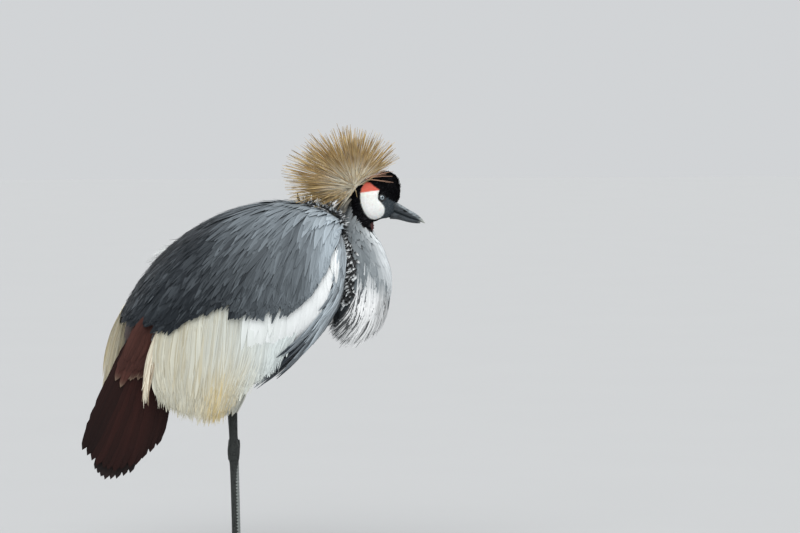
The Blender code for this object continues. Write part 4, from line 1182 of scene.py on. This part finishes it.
tint = blend(chance.random(len(x)) ** 3, screen(5, 5, 7), screen(30, 30, 34))
tint = blend(lore_zone(x, z) * (np.abs(y) > 0.004) * 0.9, tint, screen(62, 70, 76))
tint = blend(1 - black_zone(x, z), tint, screen(112, 112, 108))
roots = ((x - 0.14) / 0.1, 0.5 + np.arctan2(y, z - 0.60) / 6.3)
plumage("velvet_cap", [vanes(line, face, half, tint, roots, seed=133)], cap_finish, "black_feather", "head")

# The crown: a brush of stiff, twisted bristles of straw yellow and brown, each a single feather
# without a vane, standing out from one tuft at the back of the head.
CREST_ROOT = np.array((0.1625, 0.0, 0.6285))
# How long the bristles are by the way they point, in degrees up from straight ahead
CREST_WAYS = (0, 26, 41, 52, 82, 98, 112, 137, 155, 170, 182, 222, 263, 300, 360)
CREST_LENGTHS = (
    0.030, 0.066, 0.093, 0.102, 0.103, 0.108, 0.106, 0.120, 0.126, 0.121, 0.116, 0.070, 0.058, 0.020, 0.020,
)
crest_finish = feather_finish("crown_bristle", 3.0, 0.12, 0.0, 0.0, 0.5, 0.1, 0.20)
# The brush's middle leans back to the first angle, and its bristles spread from it by the second.
LEAN, SPREAD = math.radians(120), math.radians(92)
chance = np.random.default_rng(7)
count = 1900
axis = np.array((math.cos(LEAN), 0, math.sin(LEAN)))
aside = np.array((0.0, 1.0, 0.0))
order = (np.arange(count) + 0.5) / count
tilt = np.arccos(1 - order * (1 - math.cos(SPREAD))) + chance.normal(0, 0.03, count)
around = np.arange(count) * math.pi * (3 - math.sqrt(5)) + chance.normal(0, 0.1, count)
spoke = aside * np.cos(around)[:, None] + np.cross(axis, aside) * np.sin(around)[:, None]
way = unit(axis * np.cos(tilt)[:, None] + spoke * np.sin(tilt)[:, None])
rise = np.degrees(np.arctan2(way[:, 2], way[:, 0])) % 360
off = np.abs(way[:, 1])
length = np.interp(rise, CREST_WAYS, CREST_LENGTHS) * chance.uniform(0.70, 1.02, count)
length = length * (1 - 0.14 * step(off, 0.6, 1.0))
# Those that point down end on the back of the neck, and few stand out sideways or point ahead.
limit = np.maximum(0.0185 / np.maximum(-way[:, 2], 1e-6), 0.034)
length = np.where((way[:, 2] < 0) & (off < 0.40), np.minimum(length, limit), length)
keep = chance.random(count) < np.where(rise < 72, 0.60, 1.0) * (1 - 0.60 * step(off, 0.30, 0.65))
keep &= (rise > np.where(off > 0.15, 37, 30)) & (rise < 292)
way, length, rise, count = way[keep], length[keep], rise[keep], int(keep.sum())
t = shares(9)[:, None]
sag = chance.normal(0, 0.0030, (count, 1, 3)) * t**2 - np.array((0, 0, 0.004)) * t**2
line = CREST_ROOT + way[:, None] * (0.004 + (length - 0.004)[:, None, None] * t) + sag
face = unit(np.cross(way, chance.normal(0, 1, (count, 3))))
half = 0.00046 * profile(9, 0.4, 0.8, 1.0, 1.0, 0.9, 0.35) * chance.uniform(0.75, 1.25, (count, 1))
along = shares(10)
ticks = 0.5 + 0.5 * np.sin(along * 40 + chance.random((count, 1)) * 6.3)
gold = blend(chance.random(count), screen(232, 208, 150), screen(186, 150, 92))[:, None]
# Painted light: each bristle is near white near its root, fading to gold past half its length, so that the
# dense core stays pale where the bristles shade it.
gold = blend(1 - step(along, 0.22, 0.62), gold, screen(255, 254, 246))
tint = blend(ticks * step(along, 0.30, 0.75) * 0.80, gold, screen(70, 48, 28))
roots = (rise / 360, np.degrees(np.arccos(way[:, 1])) / 180)
bristles = [vanes(line, face, half, tint, roots, 3, 0.0, 0.0010, 0.0, 141)]
# A few thin reddish ones lie forward over the cap.
chance = np.random.default_rng(9)
count = 14
side = np.where(np.arange(count) % 2, 1.0, -1.0)
high = chance.random(count)
start = stacked(0.176 + 0.010 * high, side * 0.0195, 0.6420 + 0.0040 * high)
tip_x, tip_y = 0.206 + 0.018 * chance.random(count), side * chance.uniform(0.018, 0.024, count)
tip = stacked(tip_x, tip_y, 0.636 + 0.022 * high)
bend = (start + tip) / 2 + stacked(0, 0.0035 * side, 0.002)
face = unit(np.cross(tip - CREST_ROOT, chance.normal(0, 1, (count, 3))))
half = 0.00034 * profile(9, 1.0, 1.0, 0.95, 0.8, 0.30)
tint = blend(chance.random(count), screen(206, 160, 138), screen(150, 116, 92))
roots = (0.1 + 0.05 * high, 0.5 + side * 0.2)
bristles.append(vanes(arc(start, bend, tip, 9), face, half, tint, roots, 3, 0.0, 0.0010, 0.0, 142))
# The tuft at their root is dense and pale: short, soft, wider ones on either side of it, near white as
# painted light that fills the shade among the bristles.
chance = np.random.default_rng(10)
count = 520
side = np.where(np.arange(count) % 2, 1.0, -1.0)
angle = np.radians(chance.uniform(48, 236, count))
way = unit(stacked(np.cos(angle), side * chance.uniform(0.0, 0.5, count), np.sin(angle)))
start = CREST_ROOT + stacked(0, side * chance.uniform(0.010, 0.019, count), 0)
line = start[:, None] + way[:, None] * (0.0005 + chance.uniform(0.010, 0.040, (count, 1, 1)) * t)
face = unit(stacked(0.15 * way[:, 0], side, 0.15 * way[:, 2]) + chance.normal(0, 0.15, (count, 3)))
half = 0.00085 * profile(9, 1.0, 1.0, 0.9, 0.6, 0.2)
tint = blend(chance.random(count), screen(255, 252, 240), screen(238, 226, 192))
roots = (0.5 + 0.1 * way[:, 0], 0.5 + 0.2 * way[:, 2] * side)
bristles.append(vanes(line, face, half, tint, roots, 3, 0.0, 0.0010, 0.0, 143))
plumage("crown_bristles", bristles, crest_finish, "straw_crest", "crest")

# The eyes are glossy balls with a pale blue-grey iris and a small round pupil. Each is set in a ring of
# bare black lids that lies on the face.
eye_finish = Finish("eye", roughness=0.12, coat_weight=1.0, coat_roughness=0.03)
eye_map = eye_finish.node("ShaderNodeUVMap", {"uv_map": "UVMap"}, {}).outputs[0]
from_pole = 1.0 - eye_finish.split(eye_map)[1]
rays = eye_finish.noise(1400.0, 3.0).ramp(0.35, 0.7)
iris = eye_finish.mix(rays, screen(98, 112, 120), screen(160, 173, 180))
iris = eye_finish.mix(from_pole.ramp(0.152, 0.176), iris, screen(30, 36, 40))
eye_finish.colour(from_pole.ramp(0.070, 0.080), screen(3, 3, 4), iris)
LID_RADIUS, LID_THICKNESS = EYE_RADIUS * 0.78, 0.00105
lid_finish = Finish("lid", roughness=0.5)
lid_finish.colour(lid_finish.noise(900.0), screen(14, 14, 16), screen(32, 33, 36))
for word, side in SIDES.items():
    facing = Vector((0.18, side, 0.05)).normalized()
    turn = facing.to_track_quat("Z", "Y").to_euler()
    centre = Vector((EYE.x, side * EYE.y, EYE.z))
    eyeball = ball("eyeball_" + word, centre, (EYE_RADIUS, EYE_RADIUS, EYE_RADIUS), 40, 28, turn)
    only(eyeball)
    bpy.ops.object.shade_smooth()
    dress(eyeball, eye_finish, "iris", "eye_" + word)
    bpy.ops.object.select_all(action="DESELECT")
    bpy.ops.mesh.primitive_torus_add(
        major_radius=LID_RADIUS, minor_radius=LID_THICKNESS, major_segments=40, minor_segments=12,
        location=centre + facing * EYE_RADIUS * 0.70, rotation=turn)
    lids = take("lids_" + word)
    points = coordinates(lids)
    points[:, 0] += (points[:, 0] - EYE.x) * 0.10
    place_vertices(lids, points)
    outward(lids)
    dress(lids, lid_finish, "black_feather")

# The bill is grey horn: an upper and a lower half that meet along the mouth, with a long slot for each
# nostril. A paler band along the top of the culmen and a pale tip are painted highlights.
UPPER_BILL = (
    (0.222, 0.6088, 0.221, 0.5898, 0.0100),
    (0.232, 0.6038, 0.231, 0.5872, 0.0092),
    (0.242, 0.5979, 0.2425, 0.5822, 0.0076),
    (0.2536, 0.5910, 0.2536, 0.5784, 0.0062),
    (0.264, 0.5850, 0.2635, 0.5748, 0.0048),
    (0.2726, 0.5778, 0.272, 0.5714, 0.0030),
    (0.2785, 0.5702, 0.2782, 0.5691, 0.0008),
)
LOWER_BILL = (
    (0.221, 0.5905, 0.221, 0.5768, 0.0096),
    (0.231, 0.5880, 0.233, 0.5758, 0.0083),
    (0.2425, 0.5830, 0.2434, 0.5732, 0.0068),
    (0.2536, 0.5791, 0.2536, 0.5707, 0.0054),
    (0.2635, 0.5755, 0.264, 0.5694, 0.0040),
    (0.2700, 0.5726, 0.2706, 0.5694, 0.0018),
)
NOSTRIL, NOSTRIL_OUT, NOSTRIL_TURN = (0.2445, 0.5898), 0.0066, -0.45
bill_finish = Finish("bill_horn", specular_ior_level=0.45)
where = bill_finish.spot()
place_x, _, place_z = bill_finish.split(where)
stretch = bill_finish.node("ShaderNodeMapping", {}, {"Vector": where, "Scale": (0.35, 1.0, 1.0)}).outputs[0]
grain = bill_finish.noise(420.0, 5.0, stretch)
# Painted highlight: a lighter band along the top of the culmen.
lit_top = (place_x * 0.655 + place_z).ramp(0.7500, 0.7535)
horn = bill_finish.mix(grain.ramp(0.25, 0.75), screen(26, 30, 34), screen(62, 69, 74))
horn = bill_finish.mix(lit_top * grain.ramp(0.30, 0.60), horn, screen(138, 146, 150))
# Painted highlight: the pale tip.
horn = bill_finish.mix((place_x + grain * 0.006).ramp(0.268, 0.284), horn, screen(186, 188, 180))
ahead = place_x - NOSTRIL[0]
slot = ahead.size() * 0.40 + (place_z - NOSTRIL[1] + ahead * 0.50).size()
bill_finish.colour(slot.ramp(0.0013, 0.0022), screen(8, 8, 9), horn)
bill_finish.feed("Roughness", 0.30 + grain * 0.30)
bill_finish.bump(grain, 0.0003, 0.5)
upper = sliced_ball("bill_upper_horn", UPPER_BILL, 0.0, 40, 40)
lower = sliced_ball("bill_lower_horn", LOWER_BILL, 0.0, 36, 36)
for side in (-1, 1):
    middle = (NOSTRIL[0], side * NOSTRIL_OUT, NOSTRIL[1])
    slot = ball("nostril", middle, (0.0042, 0.0026, 0.0016), 24, 14)
    only(slot)
    bpy.ops.transform.rotate(value=NOSTRIL_TURN, orient_axis="Y", center_override=middle)
    bpy.ops.object.transform_apply(location=True, rotation=True, scale=True)
    apply_modifier(upper, "BOOLEAN", operation="DIFFERENCE", object=slot, solver="EXACT")
    bpy.data.objects.remove(slot)
for piece, node in ((upper, "bill_upper"), (lower, "bill_lower")):
    outward(piece)
    only(piece)
    bpy.ops.object.shade_smooth_by_angle(angle=math.radians(40))
    dress(piece, bill_finish, "bill_horn", node)

# The wattle is a small fold of dark red skin that hangs at the throat, wider at its lower end, its
# sides slightly rippled.
wattle = ball("throat_wattle", (0.1900, 0, 0.5650), (0.0044, 0.0034, 0.0100), 28, 22)
points = coordinates(wattle)
low = np.clip((0.5745 - points[:, 2]) / 0.021, 0, 1)
points[:, 1] *= 0.75 + 0.45 * low
points[:, 0] += 0.0009 * np.sin(points[:, 2] * 1400)
place_vertices(wattle, points)
outward(wattle)
wattle_finish = Finish(
    "wattle_skin", roughness=0.42, subsurface_weight=0.15, subsurface_radius=(0.003, 0.001, 0.001))
bumps = wattle_finish.noise(700.0, 4.0)
wattle_finish.colour(bumps, screen(44, 14, 14), screen(98, 34, 32))
wattle_finish.bump(bumps, 0.0005, 0.7)
dress(wattle, wattle_finish, "red_skin", "wattle")

# The legs are bare: shank, hock and shin in black scaly skin, with a row of pale-edged scutes down the
# front of the shin.
THIGH_HEIGHT, HOCK_HEIGHT, ANKLE_HEIGHT = 0.292, 0.205, 0.020
SHIN_SCUTES = 30
scale_finish = Finish("leg_scale", specular_ior_level=0.4)
inputs = {"Vector": scale_finish.spot(), "Scale": 330.0}
cells = scale_finish.field("ShaderNodeTexVoronoi", {"feature": "DISTANCE_TO_EDGE"}, inputs)
dust = scale_finish.noise(150.0, 4.0)
plate = cells.ramp(0.02, 0.12)
scale_finish.colour(plate * (0.35 + dust * 0.65), screen(15, 17, 16), screen(52, 57, 55))
scale_finish.feed("Roughness", 0.62 - plate * 0.2)
scale_finish.bump(plate, 0.0006, 0.8)
scute_finish = Finish("scute", specular_ior_level=0.45)
grain = scute_finish.noise(260.0, 4.0)
scute_finish.colour(grain, screen(84, 90, 90), screen(150, 156, 152))
scute_finish.feed("Roughness", 0.36 + grain * 0.25)
scute_finish.bump(grain, 0.0003, 0.6)


def drawn_out(name, rings, segments, shape):
    """A ball whose rings are placed by shape, from each point's ring and its angle, and which is closed
    by its poles, where shape gets 0 as the third value instead of 1."""
    piece = ball(name, segments=segments, rings=rings + 1)
    row, angle = ball_rows(piece, rings + 1)
    closed = np.where((row == 0) | (row == rings + 1), 0.0, 1.0)
    place_vertices(piece, shape(np.clip(row - 1, 0, rings - 1), angle, closed))
    return piece


for word, side in SIDES.items():
    hip = np.array((LEG_FORE_AFT - 0.001 + LEG_AHEAD[word] * 0.5, side * LEG_APART * 0.95, THIGH_HEIGHT))
    hock = np.array((LEG_FORE_AFT + LEG_AHEAD[word], side * LEG_APART, HOCK_HEIGHT))
    ankle = np.array((LEG_FORE_AFT + 0.004 + LEG_AHEAD[word], side * LEG_APART, ANKLE_HEIGHT))
    rows = smooth_rows([
        (*hip, 0.0072), (*(hip * 0.2 + hock * 0.8), 0.0070), (*(hock + (0, 0, 0.010)), 0.0092),
        (*hock, 0.0100), (*(hock - (0, 0, 0.012)), 0.0090), (*(hock * 0.83 + ankle * 0.17), 0.0066),
        (*(hock * 0.15 + ankle * 0.85), 0.0060), (*ankle, 0.0076), (*(ankle - (0, 0, 0.008)), 0.0066),
    ], shares(90))

    def limb(index, angle, closed):
        spoke = stacked(np.cos(angle), 0.82 * np.sin(angle), 0)
        return rows[index, :3] + spoke * (rows[index, 3] * closed)[:, None]

    leg = drawn_out("leg_skin_" + word, 90, 28, limb)
    outward(leg)
    dress(leg, scale_finish, "leg_scale", "leg_" + word)
    scutes = []
    for i in range(SHIN_SCUTES):
        share = 0.11 + 0.84 * (i + 0.5) / SHIN_SCUTES
        middle = hock * (1 - share) + ankle * share
        low = np.interp(middle[2], (ankle[2], hock[2]), (0.0072, 0.0082))
        radius = float(low if share > 0.86 else 0.0062)
        scute = ball("scute", segments=16, rings=10)
        x, y, z = coordinates(scute).T
        bend = y * 1.34
        points = stacked(
            radius * 0.985 * np.cos(bend) + 0.0010 * x + 0.0004 * (z < 0),
            radius * 0.84 * np.sin(bend),
            z * 0.0034 * (1 - 0.15 * bend**2),
        ) + middle
        place_vertices(scute, points)
        scutes.append(scute)
    front = joined("shin_scutes_" + word, scutes)
    outward(front)
    dress(front, scute_finish, "leg_scale")

# Each foot has three toes forward and a short one behind, with scutes above and soft pads below, all
# flat on the floor. The claws are separate horn cones, blunt from walking.
# The toes: name, heading in degrees, length, half width, length of the claw
TOES = (
    ("middle", 0, 0.082, 0.0056, 0.011),
    ("outer", 30, 0.062, 0.0052, 0.010),
    ("inner", -32, 0.057, 0.0052, 0.010),
    ("hind", 168, 0.030, 0.0045, 0.008),
)
TOE_RINGS = 46
SOLE_HEIGHT = 0.0003
claw_finish = Finish("claw_horn", specular_ior_level=0.5)
grain = claw_finish.noise(500.0, 4.0)
claw_finish.colour(grain, screen(22, 22, 24), screen(60, 60, 62))
claw_finish.feed("Roughness", 0.3 + grain * 0.2)
claw_finish.bump(grain, 0.0002, 0.5)
for word, side in SIDES.items():
    ankle = np.array((LEG_FORE_AFT + 0.004 + LEG_AHEAD[word], side * LEG_APART, 0.0))
    toes = [ball("foot_pad", ankle + (0, 0, 0.0100), (0.0086, 0.0080, 0.0096), 28, 18)]
    points = coordinates(toes[0])
    points[:, 2] = np.maximum(points[:, 2], SOLE_HEIGHT)
    place_vertices(toes[0], points)
    plates = []
    for finger, degrees, length, radius, nail in TOES:
        heading = math.radians(degrees) * side
        way = np.array((math.cos(heading), math.sin(heading), 0.0))
        cross = np.array((-way[1], way[0], 0.0))

        def on_toe(along, across, height):
            """Points by their distance along and across a toe and above the floor."""
            points = ankle + way * along[:, None] + cross * across[:, None]
            points[:, 2] = height
            return points

        def toe_size(share):
            """The half width and top of a toe at shares of its length, with its pads."""
            pads = 1 + 0.13 * np.sin(share * 15.5 + 1.2) * step(share, 0.05, 0.2)
            wide = radius * np.interp(share, (0, 0.3, 0.8, 1.0), (1.25, 1.0, 0.92, 0.50)) * pads
            return wide, 0.008 * (1 - share) ** 3 + wide * 1.9

        def toe_shape(index, angle, closed):
            share = shares(TOE_RINGS)[index]
            wide, high = toe_size(share)
            level = np.maximum(high * (0.5 + 0.5 * np.cos(angle) * closed), SOLE_HEIGHT)
            return on_toe(length * share, wide * np.sin(angle) * closed, level)

        toes.append(drawn_out("toe", TOE_RINGS, 20, toe_shape))
        number = max(4, int(length / 0.0062))
        for i in range(number):
            at = (i + 0.8) / (number + 0.6)
            wide, top = toe_size(at)
            plate = ball("toe_scute", segments=14, rings=8)
            x, y, z = coordinates(plate).T
            bend = y * 0.95
            level = top * (0.5 + 0.52 * np.cos(bend)) + z * 0.0007
            along = length * at + x * length / number * 0.56
            place_vertices(plate, on_toe(along, wide * 1.02 * np.sin(bend), level))
            plates.append(plate)
        claw = ball("claw_cone_" + finger + "_" + word, segments=18, rings=20)
        x, y, z = coordinates(claw).T
        along = (1 - z) / 2
        thin = radius * 0.62 * (1 - along**1.6) * np.minimum(1, 6 * along + 0.35)
        curve = radius * 0.62 * (1.25 - 1.1 * along**1.4)
        angle = np.arctan2(y, x)
        level = np.maximum(curve + thin * np.cos(angle), SOLE_HEIGHT)
        place_vertices(claw, on_toe(length - 0.002 + nail * along, thin * 0.8 * np.sin(angle), level))
        outward(claw)
        dress(claw, claw_finish, "bill_horn", "claw_" + finger + "_" + word)
    foot = joined("foot_skin_" + word, toes)
    outward(foot)
    dress(foot, scale_finish, "leg_scale", "foot_" + word)
    tops = joined("toe_scutes_" + word, plates)
    outward(tops)
    dress(tops, scute_finish, "leg_scale")

# The bird stands on a plain pale floor under soft studio light, seen from its right side, a little from
# behind and from just above its back.
bpy.ops.object.select_all(action="DESELECT")
bpy.ops.mesh.primitive_plane_add(size=40, location=(0, 0, 0))
floor = bpy.context.object
floor.name = "floor"
floor_finish = Finish("floor_paper", roughness=0.9, specular_ior_level=0.1)
floor_finish.colour(floor_finish.noise(3.0), (0.482, 0.488, 0.490), (0.495, 0.501, 0.503))
floor.data.materials.append(floor_finish.material)

world = bpy.data.worlds.new("studio")
bpy.context.scene.world = world
world.use_nodes = True
world.node_tree.nodes["Background"].inputs[0].default_value = (0.80, 0.82, 0.84, 1)
world.node_tree.nodes["Background"].inputs[1].default_value = 0.80
for name, place, strength, spread_angle in (
    ("sky_panel", (-0.6, -2.3, 2.7), 2.5, 50),
    ("rim_panel", (-2.0, 2.0, 1.6), 0.5, 40),
):
    light = bpy.data.lights.new(name, "SUN")
    light.energy = strength
    light.angle = math.radians(spread_angle)
    lamp = bpy.data.objects.new(name, light)
    lamp.location = place
    lamp.rotation_euler = Vector(place).to_track_quat("Z", "Y").to_euler()
    bpy.context.scene.collection.objects.link(lamp)

AZIMUTH, ELEVATION, DISTANCE = math.radians(-8), math.radians(3), 7.0
# How far the picture's middle is from the origin along the ground, and how high
PICTURE_MIDDLE, PICTURE_HEIGHT = 0.2349, 0.501
to_camera = Vector((
    math.sin(AZIMUTH) * math.cos(ELEVATION), -math.cos(AZIMUTH) * math.cos(ELEVATION), math.sin(ELEVATION),
))
target = Vector((math.cos(AZIMUTH), math.sin(AZIMUTH), 0)) * PICTURE_MIDDLE + Vector((0, 0, PICTURE_HEIGHT))
camera_data = bpy.data.cameras.new("camera")
camera_data.lens = 194.4
camera_data.clip_end = 100
camera = bpy.data.objects.new("camera", camera_data)
camera.location = target + to_camera * DISTANCE
camera.rotation_euler = to_camera.to_track_quat("Z", "Y").to_euler()
bpy.context.scene.collection.objects.link(camera)
bpy.context.scene.camera = camera
bpy.context.scene.view_settings.view_transform = "Standard"
